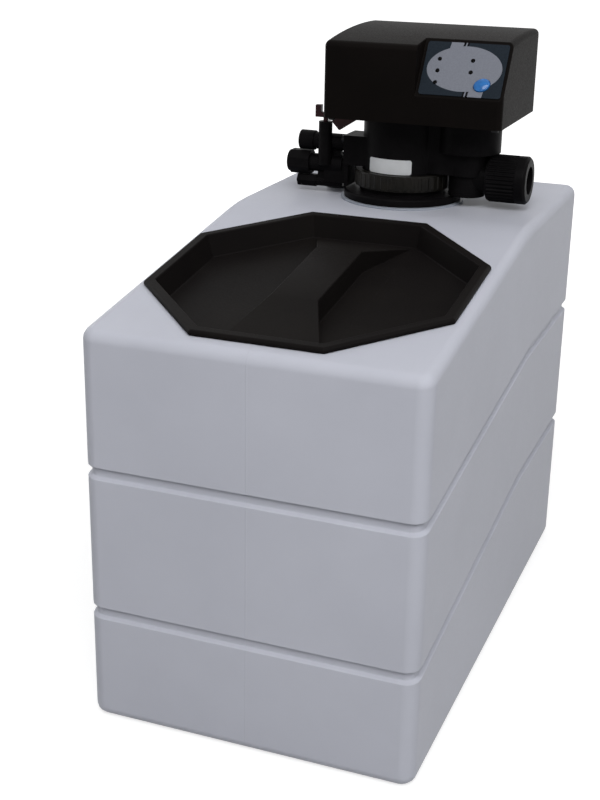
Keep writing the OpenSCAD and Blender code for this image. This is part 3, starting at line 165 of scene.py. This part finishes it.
looks = {
    # blow-moulded polyethylene: pale, faintly waxy, soft broad highlights; the grain is drawn coarse to show
    "blowMouldedPolyethylene": {"tones": ("#B4B6C0", "#B8BAC4"), "patch": 90, "grain": 1.8, "depth": 0.12,
                                "rough": (0.40, 0.50), "wave": 70, "waveDepth": 0.8,
                                "seam": 0.9, "seamDepth": 0.25,
                                "shader": {"IOR": 1.51, "Specular IOR Level": 0.1}},
    # the trim ring is injection moulded, so it has no parting line
    # its tones are darker than the cabinet's: partly the ring's own grey, partly painted shade for the dark
    # line where the ring meets the deck
    "mouldedPolyethylene": {"tones": ("#8C919B", "#949AA4"), "patch": 40, "grain": 1.4, "depth": 0.06,
                            "rough": (0.36, 0.46), "shader": {"IOR": 1.51, "Specular IOR Level": 0.1}},
    # injection-moulded ABS with a spark-eroded texture: near black, satin
    # the warm tint of these near-black tones is a painted reflection, standing in for warm light reflected
    # on the cover
    "sparkTexturedAbs": {"tones": ("#0A0807", "#0E0B0A"), "patch": 60, "grain": 1.1, "depth": 0.10,
                         "rough": (0.42, 0.56),
                         "shader": {"IOR": 1.54, "Specular IOR Level": 0.02}},
    # vacuum-formed ABS sheet: the lid, a little greyer with a fine hair-cell grain
    "hairCellAbs": {"tones": ("#110F0F", "#151312"), "patch": 70, "grain": 1.3, "depth": 0.14,
                    "rough": (0.40, 0.52), "wave": 45, "waveDepth": 0.5,
                    "shader": {"IOR": 1.54, "Specular IOR Level": 0.02}},
    # glass-filled polyamide: black with a dry, slightly streaky skin
    "glassFilledNylon": {"tones": ("#0B0A0B", "#100F10"), "patch": 14, "grain": 0.9, "depth": 0.08,
                         "rough": (0.32, 0.48), "shader": {"IOR": 1.53, "Specular IOR Level": 0.02}},
    # the same nylon in greyer, warmer tones, a painted sheen, with a higher specular level for a real sheen
    # too
    "paintedSheenNylon": {"tones": ("#100F0D", "#181613"), "patch": 9, "grain": 0.9, "depth": 0.06,
                    "rough": (0.30, 0.42), "shader": {"IOR": 1.53, "Specular IOR Level": 0.10}},
    # natural polypropylene: milky white
    "naturalPolypropylene": {"tones": ("#DCDCD6", "#E6E6E1"), "patch": 40, "grain": 1.2, "depth": 0.05,
                             "rough": (0.38, 0.48), "shader": {"IOR": 1.49}},
    # filament-wound glass fibre in epoxy: straw coloured, glossy
    "woundGlassFibre": {"tones": ("#B9A878", "#CBBB8E"), "patch": 6, "grain": 2.5, "depth": 0.25,
                        "rough": (0.22, 0.36), "shader": {"IOR": 1.55}},
    # wet ion-exchange beads: amber grains about a millimetre across
    "wetResinBeads": {"tones": ("#9C6222", "#C08236"), "patch": 1.5, "grain": 1.0, "depth": 0.4,
                      "rough": (0.18, 0.32), "shader": {"IOR": 1.5}},
    # drawn stainless steel
    "drawnStainless": {"tones": ("#A9ADB1", "#BEC1C4"), "patch": 9, "grain": 0.8, "depth": 0.03,
                       "rough": (0.24, 0.36), "shader": {"Metallic": 1.0}},
    # black-oxide screws: dark, faintly oily
    "blackOxideSteel": {"tones": ("#1B1B1C", "#252526"), "patch": 3, "grain": 0.6, "depth": 0.02,
                        "rough": (0.35, 0.45), "shader": {"Metallic": 1.0}},
    # turned brass
    "turnedBrass": {"tones": ("#B59A55", "#C7AC66"), "patch": 7, "grain": 0.7, "depth": 0.03,
                    "rough": (0.22, 0.34), "shader": {"Metallic": 1.0}},
    # moulded EPDM rubber: dull black
    "mouldedEpdm": {"tones": ("#131313", "#1A1A1A"), "patch": 10, "grain": 0.8, "depth": 0.05,
                    "rough": (0.62, 0.75), "shader": {"IOR": 1.5}},
    # self-coloured acetal: dark red, smooth
    "redAcetal": {"tones": ("#241014", "#2E1518"), "patch": 8, "grain": 0.6, "depth": 0.02,
                  "rough": (0.28, 0.36), "shader": {"IOR": 1.48, "Specular IOR Level": 0.1}},
    # solder-masked glass epoxy board
    "solderMask": {"tones": ("#1F5535", "#286641"), "patch": 12, "grain": 0.5, "depth": 0.02,
                   "rough": (0.25, 0.35), "shader": {"IOR": 1.55}},
    # smoked indicator lens, unlit
    "smokedLens": {"tones": ("#040404", "#070708"), "patch": 4, "grain": 0.5, "depth": 0.01,
                   "rough": (0.12, 0.18), "shader": {"IOR": 1.49, "Specular IOR Level": 0.04}},
    # blue pigmented acrylic, polished
    "bluePolishedAcrylic": {"tones": ("#14508C", "#2068AC"), "patch": 7, "grain": 0.8, "depth": 0.01,
                            "rough": (0.08, 0.14), "shader": {"IOR": 1.49, "Specular IOR Level": 0.3}},
    # bare white vinyl label stock
    "whiteVinyl": {"tones": ("#BEC0C2", "#C6C8CA"), "patch": 12, "grain": 0.8, "depth": 0.01,
                   "rough": (0.32, 0.42), "shader": {"IOR": 1.52}},
}
finish = {name: surface(name, look) for name, look in looks.items()}

# the cover's sloping face: the middle of its lower edge, and its lean in degrees
panel = {"foot": (59, 45, 433), "lean": 57}

# polyester film printed on its back: slate ground, silver oval with a tab to each edge, gloss over all
film = {"ground": ("#1E242B", "#222930"), "silver": ("#71747D", "#777A83"), "ink": "#0E0F12",
        "oval": (0.2, 24.95, 29.8, 19.1), "tabs": ((-11.4, 5.0, 1), (15.0, 5.6, -1)), "slash": (1.1, 2.3),
        "clear": 0.9, "lead": 0.12, "flake": 1.2, "flakeDetail": 2.0,
        "shader": {"Roughness": 0.24, "IOR": 1.57, "Specular IOR Level": 0.03}}


def printedFilm(f):
    material, tree, shader = newMaterial("backPrintedPolyester")
    for key, value in f["shader"].items():
        shader.inputs[key].default_value = value
    place = addNode(tree, "ShaderNodeTexCoord").outputs["Object"]
    flat = addNode(tree, "ShaderNodeMapping",
                   {"vector_type": "TEXTURE", "Location": [c*mm for c in panel["foot"]],
                    "Rotation": (math.radians(panel["lean"]), 0, 0), "Scale": (mm, mm, mm)},
                   {"Vector": place})
    axes = addNode(tree, "ShaderNodeSeparateXYZ", links={"Vector": flat.outputs["Vector"]})
    middleU, middleV, halfU, halfV = f["oval"]
    width, apart = f["slash"]
    # each step: its name, what it does, and two terms that are numbers or earlier steps
    steps = [("offU", "SUBTRACT", "u", middleU), ("shareU", "DIVIDE", "offU", halfU),
             ("squareU", "POWER", "shareU", 2), ("above", "SUBTRACT", "v", middleV),
             ("shareV", "DIVIDE", "above", halfV), ("squareV", "POWER", "shareV", 2),
             ("reach", "ADD", "squareU", "squareV"), ("oval", "LESS_THAN", "reach", 1),
             ("outside", "SUBTRACT", 1, "oval"), ("lead", "MULTIPLY", "above", f["lead"]),
             ("slant", "SUBTRACT", "u", "lead")]  # the tabs and slashes lean
    for end, (middle, half, side) in zip(("Top", "Low"), f["tabs"]):
        steps += [("off" + end, "SUBTRACT", "slant", middle), ("rise" + end, "MULTIPLY", "above", side),
                  ("outer" + end, "GREATER_THAN", "rise" + end, 0)]
        for band, shift, limit in (("tab", 0, half), ("slash", side*(half + apart), width/2),
                                   ("gap", side*(half + apart/2 + f["clear"]), apart)):
            name = band + end
            steps += [(name + "Off", "SUBTRACT", "off" + end, shift),
                      (name + "Far", "ABSOLUTE", name + "Off", 0),
                      (name + "In", "LESS_THAN", name + "Far", limit),
                      (name, "MULTIPLY", name + "In", "outer" + end)]
        steps += [("silver" + end, "MAXIMUM", "tab" + end, "slash" + end)]
    steps += [("ends", "MAXIMUM", "silverTop", "silverLow"), ("silver", "MAXIMUM", "oval", "ends"),
              ("gaps", "MAXIMUM", "gapTop", "gapLow"), ("dark", "MULTIPLY", "gaps", "outside")]
    known = {"u": axes.outputs["X"], "v": axes.outputs["Y"]}
    for name, operation, *terms in steps:
        numbers = {slot: term for slot, term in enumerate(terms) if not isinstance(term, str)}
        sources = {slot: known[term] for slot, term in enumerate(terms) if isinstance(term, str)}
        step = addNode(tree, "ShaderNodeMath", {"operation": operation, **numbers}, sources)
        known[name] = step.outputs["Value"]
    flake = addNode(tree, "ShaderNodeTexNoise", {"Scale": 1/(f["flake"]*mm), "Detail": f["flakeDetail"]},
                    {"Vector": place})
    share = addNode(tree, "ShaderNodeMapRange",
                    {"From Min": pattern["stops"][0], "From Max": pattern["stops"][1]},
                    {"Value": flake.outputs["Fac"]})
    tones = {}
    for key in ("ground", "silver"):
        mixed = addNode(tree, "ShaderNodeMix",
                        {"data_type": "RGBA", 6: srgb(f[key][0]), 7: srgb(f[key][1])},
                        {0: share.outputs["Result"]})
        tones[key] = mixed.outputs[2]
    inked = addNode(tree, "ShaderNodeMix", {"data_type": "RGBA", 7: srgb(f["ink"])},
                    {0: known["dark"], 6: tones["ground"]})
    whole = addNode(tree, "ShaderNodeMix", {"data_type": "RGBA"},
                    {0: known["silver"], 6: inked.outputs[2], 7: tones["silver"]})
    tree.links.new(whole.outputs[2], shader.inputs["Base Color"])
    return material


finish["backPrintedPolyester"] = printedFilm(film)
print("materials made:", len(finish))


# pieces

def paint(piece, material):
    piece.data.materials.clear()
    piece.data.materials.append(finish[material])


def openEdit(piece):
    bpy.ops.object.select_all(action="DESELECT")
    piece.select_set(True)
    bpy.context.view_layer.objects.active = piece
    bpy.ops.object.mode_set(mode="EDIT")


def closeEdit():
    bpy.ops.object.mode_set(mode="OBJECT")


def selectEdges(piece, test):
    bpy.ops.mesh.select_mode(type="EDGE")
    bpy.ops.mesh.select_all(action="DESELECT")
    mesh = bmesh.from_edit_mesh(piece.data)
    for edge in [e for e in mesh.edges if len(e.link_faces) == 2 and test(e)]:
        edge.select = True
    mesh.select_flush_mode()
    bmesh.update_edit_mesh(piece.data)


def selectVerts(piece, test):
    bpy.ops.mesh.select_mode(type="VERT")
    bpy.ops.mesh.select_all(action="DESELECT")
    mesh = bmesh.from_edit_mesh(piece.data)
    for vert in mesh.verts:
        vert.select = test(*(c/mm for c in vert.co))
    mesh.select_flush_mode()
    bmesh.update_edit_mesh(piece.data)


mend = {"merge": 0.004, "flat": 0.4}


def copyOf(node, name):
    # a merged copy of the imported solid, with its flat areas joined up again
    piece = bpy.data.objects.new(name, nodes[node].data.copy())
    piece.data.name = name
    scene.collection.objects.link(piece)
    openEdit(piece)
    bpy.ops.mesh.select_all(action="SELECT")
    bpy.ops.mesh.remove_doubles(threshold=mend["merge"]*mm)
    bpy.ops.mesh.customdata_custom_splitnormals_clear()
    bpy.ops.mesh.dissolve_limited(angle_limit=math.radians(mend["flat"]))
    closeEdit()
    return piece


def smoothOut(piece, angle=32):
    bpy.ops.object.select_all(action="DESELECT")
    piece.select_set(True)
    bpy.context.view_layer.objects.active = piece
    bpy.ops.object.shade_smooth_by_angle(angle=math.radians(angle))


def weighNormals(piece):
    bpy.context.view_layer.objects.active = piece
    weigh = piece.modifiers.new("weigh", "WEIGHTED_NORMAL")
    weigh.keep_sharp = True
    bpy.ops.object.modifier_apply(modifier="weigh")


def roundEdges(piece, width, segments, angle=28):
    bpy.context.view_layer.objects.active = piece
    rounding = piece.modifiers.new("rounding", "BEVEL")
    rounding.limit_method = "ANGLE"
    rounding.angle_limit = math.radians(angle)
    rounding.width = width*mm
    rounding.segments = segments
    rounding.use_clamp_overlap = False
    rounding.miter_outer = "MITER_ARC"
    bpy.ops.object.modifier_apply(modifier="rounding")


def standFor(piece, node, material):
    paint(piece, material)
    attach(piece, bodyOf[node])
    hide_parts(node)


# cabinet: the moulding, its grooves given a flat floor and a lower lip that catches the light
cabinet = {"frontGrooves": (88, 198), "rise": 34, "from": -226, "to": 64, "floorDrop": 5.6, "soft": 0.6,
           "segments": 2, "outside": (112, 212), "band": (-10, 8), "bend": 9, "steepest": 0.35,
           "over": (0.5, 1.0), "aligned": 0.15, "same": 0.02, "smooth": 40}


def nearGroove(x, y, z):
    along = min(1, (y - cabinet["from"])/(cabinet["to"] - cabinet["from"]))
    low, high = cabinet["band"]
    return (abs(x) > cabinet["outside"][0] or abs(y) > cabinet["outside"][1]) and any(
        low < z - h - cabinet["rise"]*along < high for h in cabinet["frontGrooves"])


def isGrooveEdge(edge):
    a, b = (v.co for v in edge.verts)
    return (edge.calc_face_angle(0) > math.radians(cabinet["bend"])
            and abs(a.z - b.z) < cabinet["steepest"]*(a - b).length
            and all(nearGroove(*(c/mm for c in v.co)) for v in edge.verts))


def justUnder(low, high):
    return (all(abs(a - b) < cabinet["aligned"] for a, b in zip(low[:2], high[:2]))
            and cabinet["over"][0] < high[2] - low[2] < cabinet["over"][1])


moulding = copyOf("cabinet_shell", "cabinetMoulding")
ring = [tuple(c/mm for c in v.co) for v in moulding.data.vertices if nearGroove(*(c/mm for c in v.co))]
innerLow = [at for at in ring if any(justUnder(at, spot) for spot in ring)]  # the floor's lower row
openEdit(moulding)
selectVerts(moulding, lambda *at: any(math.dist(at, spot) < cabinet["same"] for spot in innerLow))
bpy.ops.transform.translate(value=(0, 0, -cabinet["floorDrop"]*mm))
selectEdges(moulding, isGrooveEdge)
bpy.ops.mesh.bevel(offset=cabinet["soft"]*mm, segments=cabinet["segments"], affect="EDGES")
closeEdit()
smoothOut(moulding, cabinet["smooth"])
weighNormals(moulding)
standFor(moulding, "cabinet_shell", "blowMouldedPolyethylene")
print("cabinet moulded, groove points moved:", len(innerLow))

# head cover: crowned box with a sloping face cut into its right half, then hollowed
cover = {"x": (-52, 94), "y": (45, 163), "low": 411, "front": 471, "back": 478, "crown": 3, "strips": 8,
         "slopeFrom": 24, "cutter": ((0, -60, 0), (120, 120, 60)), "edge": 4.5, "steps": 6, "bend": 30,
         "crisp": 0.7, "crispSteps": 3, "crispBend": 25, "merge": 0.01, "wall": 2.4, "smooth": 35,
         "near": 1, "sameStrip": 0.1, "facingDown": -0.9,
         "button": {"at": (16.5, 12.2), "tilt": 25, "hole": (6.9, 5.6), "through": 20}}


def settle(piece):
    # the finished piece sits at the origin, with its place in its mesh
    bpy.ops.object.select_all(action="DESELECT")
    piece.select_set(True)
    bpy.context.view_layer.objects.active = piece
    bpy.ops.object.transform_apply(location=True, rotation=True, scale=True)


def boxPiece(name, low, high):
    bpy.ops.object.select_all(action="DESELECT")
    size = [(b - a)*mm for a, b in zip(low, high)]
    bpy.ops.mesh.primitive_cube_add(size=1, location=[(a + b)/2*mm for a, b in zip(low, high)])
    piece = bpy.context.active_object
    piece.name = piece.data.name = name
    piece.scale = size
    settle(piece)
    return piece


def ovalPiece(name, halfA, halfB, low, high, sides=48):
    # an upright oval rod, still at the origin
    bpy.ops.object.select_all(action="DESELECT")
    bpy.ops.mesh.primitive_cylinder_add(vertices=sides, radius=1, depth=1)
    piece = bpy.context.active_object
    piece.name = piece.data.name = name
    piece.scale = (halfA*mm, halfB*mm, (high - low)*mm)
    piece.location = (0, 0, (low + high)/2*mm)
    settle(piece)
    return piece


def ontoPanel(piece, u, v, tilt):
    # from flat on the bench to its place on the sloping face
    lean = Matrix.Rotation(math.radians(panel["lean"]), 4, "X")
    foot = Matrix.Translation([c*mm for c in panel["foot"]])
    piece.matrix_world = (foot @ lean @ Matrix.Translation((u*mm, v*mm, 0))
                          @ Matrix.Rotation(math.radians(tilt), 4, "Z"))
    settle(piece)


def combine(piece, other, operation):
    bpy.ops.object.select_all(action="DESELECT")
    bpy.context.view_layer.objects.active = piece
    cut = piece.modifiers.new("cut", "BOOLEAN")
    cut.operation = operation
    cut.solver = "EXACT"
    cut.object = other
    bpy.ops.object.modifier_apply(modifier="cut")
    bpy.data.objects.remove(other)


def buildCover(c):
    piece = boxPiece("headCover", (c["x"][0], c["y"][0], c["low"]), (c["x"][1], c["y"][1], c["front"]))
    openEdit(piece)
    depth = c["y"][1] - c["y"][0]
    for k in range(1, c["strips"]):
        bpy.ops.mesh.select_all(action="SELECT")
        bpy.ops.mesh.bisect(plane_co=(0, (c["y"][0] + depth*k/c["strips"])*mm, 0), plane_no=(0, 1, 0))
    for k in range(1, c["strips"] + 1):
        t = k/c["strips"]
        selectVerts(piece, lambda x, y, z: z > c["front"] - c["near"]
                    and abs(y - c["y"][0] - depth*t) < c["sameStrip"])
        rise = (c["back"] - c["front"])*t + 4*c["crown"]*t*(1 - t)
        bpy.ops.transform.translate(value=(0, 0, rise*mm))
    selectEdges(piece, lambda e: e.calc_face_angle(0) > math.radians(c["bend"])
                and max(v.co.z for v in e.verts) > (c["low"] + c["near"])*mm)
    bpy.ops.mesh.bevel(offset=c["edge"]*mm, segments=c["steps"], affect="EDGES", clamp_overlap=False)
    closeEdit()
    slope = boxPiece("slopeCutter", *c["cutter"])
    ontoPanel(slope, c["slopeFrom"] - panel["foot"][0], 0, 0)
    combine(piece, slope, "DIFFERENCE")
    openEdit(piece)
    bpy.ops.mesh.select_all(action="SELECT")
    bpy.ops.mesh.remove_doubles(threshold=c["merge"]*mm)
    mesh = bmesh.from_edit_mesh(piece.data)
    bpy.ops.mesh.select_all(action="DESELECT")
    for face in mesh.faces:
        atFoot = face.calc_center_median().z < (c["low"] + c["near"])*mm
        face.select = atFoot and face.normal.z < c["facingDown"]
    bmesh.update_edit_mesh(piece.data)
    bpy.ops.mesh.delete(type="FACE")
    closeEdit()
    roundEdges(piece, c["crisp"], c["crispSteps"], c["crispBend"])
    shell = piece.modifiers.new("shell", "SOLIDIFY")
    shell.thickness = c["wall"]*mm
    shell.offset = -1
    shell.use_even_offset = True
    bpy.ops.object.modifier_apply(modifier="shell")
    hole = ovalPiece("buttonCutter", *c["button"]["hole"], -c["button"]["through"], c["button"]["through"])
    ontoPanel(hole, *c["button"]["at"], c["button"]["tilt"])
    combine(piece, hole, "DIFFERENCE")
    smoothOut(piece, c["smooth"])
    weighNormals(piece)
    standFor(piece, "head_cover", "sparkTexturedAbs")


buildCover(cover)
print("cover built")

# button: a domed oval key with a skirt and a stop under the cover
key = {"half": (6.5, 5.2), "low": -4.2, "lipAt": -2.8, "lip": 1.2, "stop": 1.0, "shoulder": 1.5, "top": 2.6,
       "rings": 6, "smooth": 40, "near": 0.1}


def buildKey(k):
    piece = ovalPiece("panelKey", *k["half"], k["low"], k["shoulder"])
    openEdit(piece)
    selectVerts(piece, lambda x, y, z: z > k["shoulder"] - k["near"])
    for ring in range(1, k["rings"]):  # dome drawn up in rings
        a0, a1 = (math.radians(90*(ring - d)/k["rings"]) for d in (1, 0))
        rise = (math.sin(a1) - math.sin(a0))*(k["top"] - k["shoulder"])
        bpy.ops.mesh.extrude_region_move(TRANSFORM_OT_translate={"value": (0, 0, rise*mm)})
        share = math.cos(a1)/math.cos(a0)
        bpy.ops.transform.resize(value=(share, share, 1))
    selectVerts(piece, lambda x, y, z: z < k["low"] + k["near"])
    bpy.ops.transform.translate(value=(0, 0, (k["lipAt"] - k["low"])*mm))
    bpy.ops.mesh.extrude_region_move(TRANSFORM_OT_translate={"value": (0, 0, 0)})
    bpy.ops.transform.resize(value=(1 + k["lip"]/k["half"][0], 1 + k["lip"]/k["half"][1], 1))
    bpy.ops.mesh.extrude_region_move(TRANSFORM_OT_translate={"value": (0, 0, -k["stop"]*mm)})
    bpy.ops.mesh.select_all(action="SELECT")
    bpy.ops.mesh.normals_make_consistent(inside=False)
    closeEdit()
    ontoPanel(piece, *cover["button"]["at"], cover["button"]["tilt"])
    smoothOut(piece, k["smooth"])
    standFor(piece, "panel_button", "bluePolishedAcrylic")


buildKey(key)
print("button built")

# sticker on the valve: cut to its height, with round corners
sticker = {"axis": (0, 103), "radius": 34.2, "turn": 11, "low": 365.4, "high": 377.4, "corner": 2.0,
           "cuts": (0.12, 0.45, 0.8), "near": 1, "sameColumn": 0.02, "sameEdge": 0.05}


def buildSticker(t):
    piece = copyOf("blank_label", "bareSticker")
    midX, midY = t["axis"]
    openEdit(piece)
    bpy.ops.mesh.select_all(action="SELECT")
    bpy.ops.transform.rotate(value=-math.radians(t["turn"]), orient_axis="Z",
                             center_override=(midX*mm, midY*mm, 0))
    mesh = bmesh.from_edit_mesh(piece.data)
    heights = [v.co.z/mm for v in mesh.verts]
    low, high = min(heights), max(heights)
    selectVerts(piece, lambda x, y, z: z > high - t["near"])
    bpy.ops.transform.translate(value=(0, 0, (t["high"] - high)*mm))
    selectVerts(piece, lambda x, y, z: z < low + t["near"])
    bpy.ops.transform.translate(value=(0, 0, (t["low"] - low)*mm))

    def bearing(x, y):
        return math.atan2(y - midY, x - midX)

    mesh = bmesh.from_edit_mesh(piece.data)
    turns = [bearing(v.co.x/mm, v.co.y/mm) for v in mesh.verts]
    ends = min(turns), max(turns)
    for end, way in zip(ends, (1, -1)):
        for cut in t["cuts"]:
            at = end + way*cut/t["radius"]
            bpy.ops.mesh.select_all(action="SELECT")
            bpy.ops.mesh.bisect(plane_co=(midX*mm, midY*mm, 0), plane_no=(-math.sin(at), math.cos(at), 0))

    def fromEnd(x, y):
        return min(abs(bearing(x, y) - end) for end in ends)*t["radius"]

    mesh = bmesh.from_edit_mesh(piece.data)
    columns = {round(fromEnd(v.co.x/mm, v.co.y/mm), 2) for v in mesh.verts}
    for column in sorted(c for c in columns if c < t["corner"]):
        drop = t["corner"] - math.sqrt(t["corner"]**2 - (t["corner"] - column)**2)
        for edge, way in ((t["high"], -1), (t["low"], 1)):
            selectVerts(piece, lambda x, y, z: abs(fromEnd(x, y) - column) < t["sameColumn"]
                        and abs(z - edge) < t["sameEdge"])
            bpy.ops.transform.translate(value=(0, 0, way*drop*mm))
    closeEdit()
    smoothOut(piece)
    standFor(piece, "blank_label", "whiteVinyl")


buildSticker(sticker)
print("sticker cut")

# lid and the rest of what shows: solids with their edges eased
eased = {
    "salt_lid": ("saltLidTray", "hairCellAbs", 0.9, 3),
    "neck_trim_ring": ("neckTrimRing", "mouldedPolyethylene", 0.3, 2),
    "valve_body": ("valveBody", "glassFilledNylon", 0.35, 2),
    "tank_adapter": ("tankAdapter", "glassFilledNylon", 0.35, 2),
    # the coupling ring's greyer, warmer tones are a painted sheen
    "coupling_ring": ("couplingRing", "paintedSheenNylon", 0.25, 2),
    "outlet_nut": ("outletNut", "glassFilledNylon", 0.3, 2),
    "inlet_nut": ("inletNut", "glassFilledNylon", 0.3, 2),
    "turret_plug": ("turretPlug", "glassFilledNylon", 0.3, 2),
    "injector_cap": ("injectorCap", "glassFilledNylon", 0.5, 2),
    "drain_cap": ("drainCap", "glassFilledNylon", 0.5, 2),
    "drain_barb": ("drainBarb", "glassFilledNylon", 0.3, 2),
    "brine_nut": ("brineNut", "glassFilledNylon", 0.3, 2),
    "brine_elbow": ("brineElbow", "glassFilledNylon", 0.3, 2),
    "overflow_elbow": ("overflowElbow", "glassFilledNylon", 0.4, 2),
    "bleed_stem": ("bleedStem", "redAcetal", 0.25, 2),
    "power_inlet": ("powerInlet", "glassFilledNylon", 0.2, 2),
    "tube_grommet": ("tubeGrommet", "mouldedEpdm", 0.3, 2),
    "display_panel": ("displayFilm", "backPrintedPolyester", 0.15, 2),
    "panel_leds": ("indicatorLenses", "smokedLens", 0.7, 4),
}
for node, (name, material, width, segments) in eased.items():
    piece = copyOf(node, name)
    roundEdges(piece, width, segments)
    smoothOut(piece)
    weighNormals(piece)
    standFor(piece, node, material)
print("edges eased on", len(eased), "pieces")

# injector body: a pad and a black block close its lower ports up against the valve, filling the dark mass
# there, which is partly barrel and partly shade, so the block is partly painted shade
ports = {"pad": ((-45.6, 83, 349.5), (-42.2, 107, 370)), "block": ((-66, 89.5, 350), (-44, 100.5, 369)),
         "ease": 0.3, "segments": 2}
injector = copyOf("injector_body", "injectorBody")
for part in ("pad", "block"):
    combine(injector, boxPiece(part, *ports[part]), "UNION")
roundEdges(injector, ports["ease"], ports["segments"])
smoothOut(injector)
weighNormals(injector)
standFor(injector, "injector_body", "glassFilledNylon")
print("injector ports closed")

# the bleed spring: a merged, smoothed copy with a mesh of its own
spring = copyOf("bleed_spring", "bleedSpring")
smoothOut(spring)
standFor(spring, "bleed_spring", "drawnStainless")
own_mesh(spring)
print("bleed spring seated")

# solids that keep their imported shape
kept = {
    "naturalPolypropylene": ("salt_grid", "grid_legs", "brine_well", "air_check", "brine_tube", "riser_tube",
                             "bottom_basket", "top_basket", "seal_spacers", "main_piston", "drive_gear",
                             "idler_gear", "turbine_rotor", "injector_nozzle", "brine_float"),
    "glassFilledNylon": ("brine_well_cap", "overflow_nut", "tank_boot", "end_plug", "rod_arm", "drive_base"),
    "mouldedEpdm": ("riser_o_ring", "neck_o_ring", "piston_seals"),
    "woundGlassFibre": ("resin_tank",),
    "wetResinBeads": ("resin_bed",),
    "drawnStainless": ("float_rod", "piston_rod", "guide_post", "idler_pin", "drive_motor"),
    "blackOxideSteel": ("cover_screws", "injector_screws"),
    "turnedBrass": ("motor_pinion",),
    "solderMask": ("circuit_board",),
}
for material, members in kept.items():
    for node in members:
        paint(nodes[node], material)
print("inner solids painted")


# floor and light

studio = {"floor": 30.0, "under": 0.0004, "paper": "#B8B8B8", "matte": 0.9, "world": 0.15, "lift": 0.66,
          "near": 0.4, "far": 1.8, "aim": (0, 0, 0.2),
          "lamps": (("frontSoftbox", (0.4, -1.7, 1.9), 1.2, 34), ("sideSoftbox", (1.7, -0.8, 1.7), 1.0, 16),
                    ("topSoftbox", (0.1, 0.3, 2.4), 2.0, 10), ("backSoftbox", (-2.0, 0.9, 1.2), 1.6, 10))}


def sightOf(tree):
    # 1 where the backdrop is looked at, straight or in a reflection
    path = addNode(tree, "ShaderNodeLightPath")
    sight = path.outputs["Is Camera Ray"]
    for ray in ("Is Glossy Ray", "Is Transmission Ray"):
        sight = addNode(tree, "ShaderNodeMath", {"operation": "MAXIMUM"},
                        {0: sight, 1: path.outputs[ray]}).outputs["Value"]
    return sight


def buildStudio(s):
    bpy.ops.object.select_all(action="DESELECT")
    bpy.ops.mesh.primitive_plane_add(size=s["floor"], location=(0, 0, -s["under"]))
    floor = bpy.context.active_object
    floor.name = "studioFloor"
    material, tree, shader = newMaterial("matteWhitePaper")
    shader.inputs["Base Color"].default_value = srgb(s["paper"])
    shader.inputs["Roughness"].default_value = s["matte"]
    place = addNode(tree, "ShaderNodeTexCoord").outputs["Object"]
    away = addNode(tree, "ShaderNodeVectorMath", {"operation": "LENGTH"}, {0: place})
    lift = addNode(tree, "ShaderNodeMapRange",  # the paper turns plain white away from the lamps
                   {"From Min": s["near"], "From Max": s["far"], "To Min": s["lift"], "To Max": 1.0},
                   {"Value": away.outputs["Value"]})
    seen = addNode(tree, "ShaderNodeMath", {"operation": "MULTIPLY"},
                   {0: sightOf(tree), 1: lift.outputs["Result"]})
    shader.inputs["Emission Color"].default_value = (1, 1, 1, 1)
    tree.links.new(seen.outputs["Value"], shader.inputs["Emission Strength"])
    floor.data.materials.append(material)
    world = bpy.data.worlds.new("studioWorld")
    scene.world = world
    world.use_nodes = True
    tree = world.node_tree
    tree.nodes.clear()
    level = addNode(tree, "ShaderNodeMapRange", {"To Min": s["world"], "To Max": 1.0},
                    {"Value": sightOf(tree)})
    sky = addNode(tree, "ShaderNodeBackground", {"Color": (1, 1, 1, 1)},
                  {"Strength": level.outputs["Result"]})
    addNode(tree, "ShaderNodeOutputWorld", links={"Surface": sky.outputs["Background"]})
    for name, place, size, power in s["lamps"]:
        bpy.ops.object.light_add(type="AREA", location=place)
        lamp = bpy.context.active_object
        lamp.name = name
        lamp.data.size = size
        lamp.data.energy = power
        aim = Vector(s["aim"]) - Vector(place)
        lamp.rotation_euler = aim.to_track_quat("-Z", "Y").to_euler()


buildStudio(studio)
scene.view_settings.view_transform = "Standard"
print("studio lit")
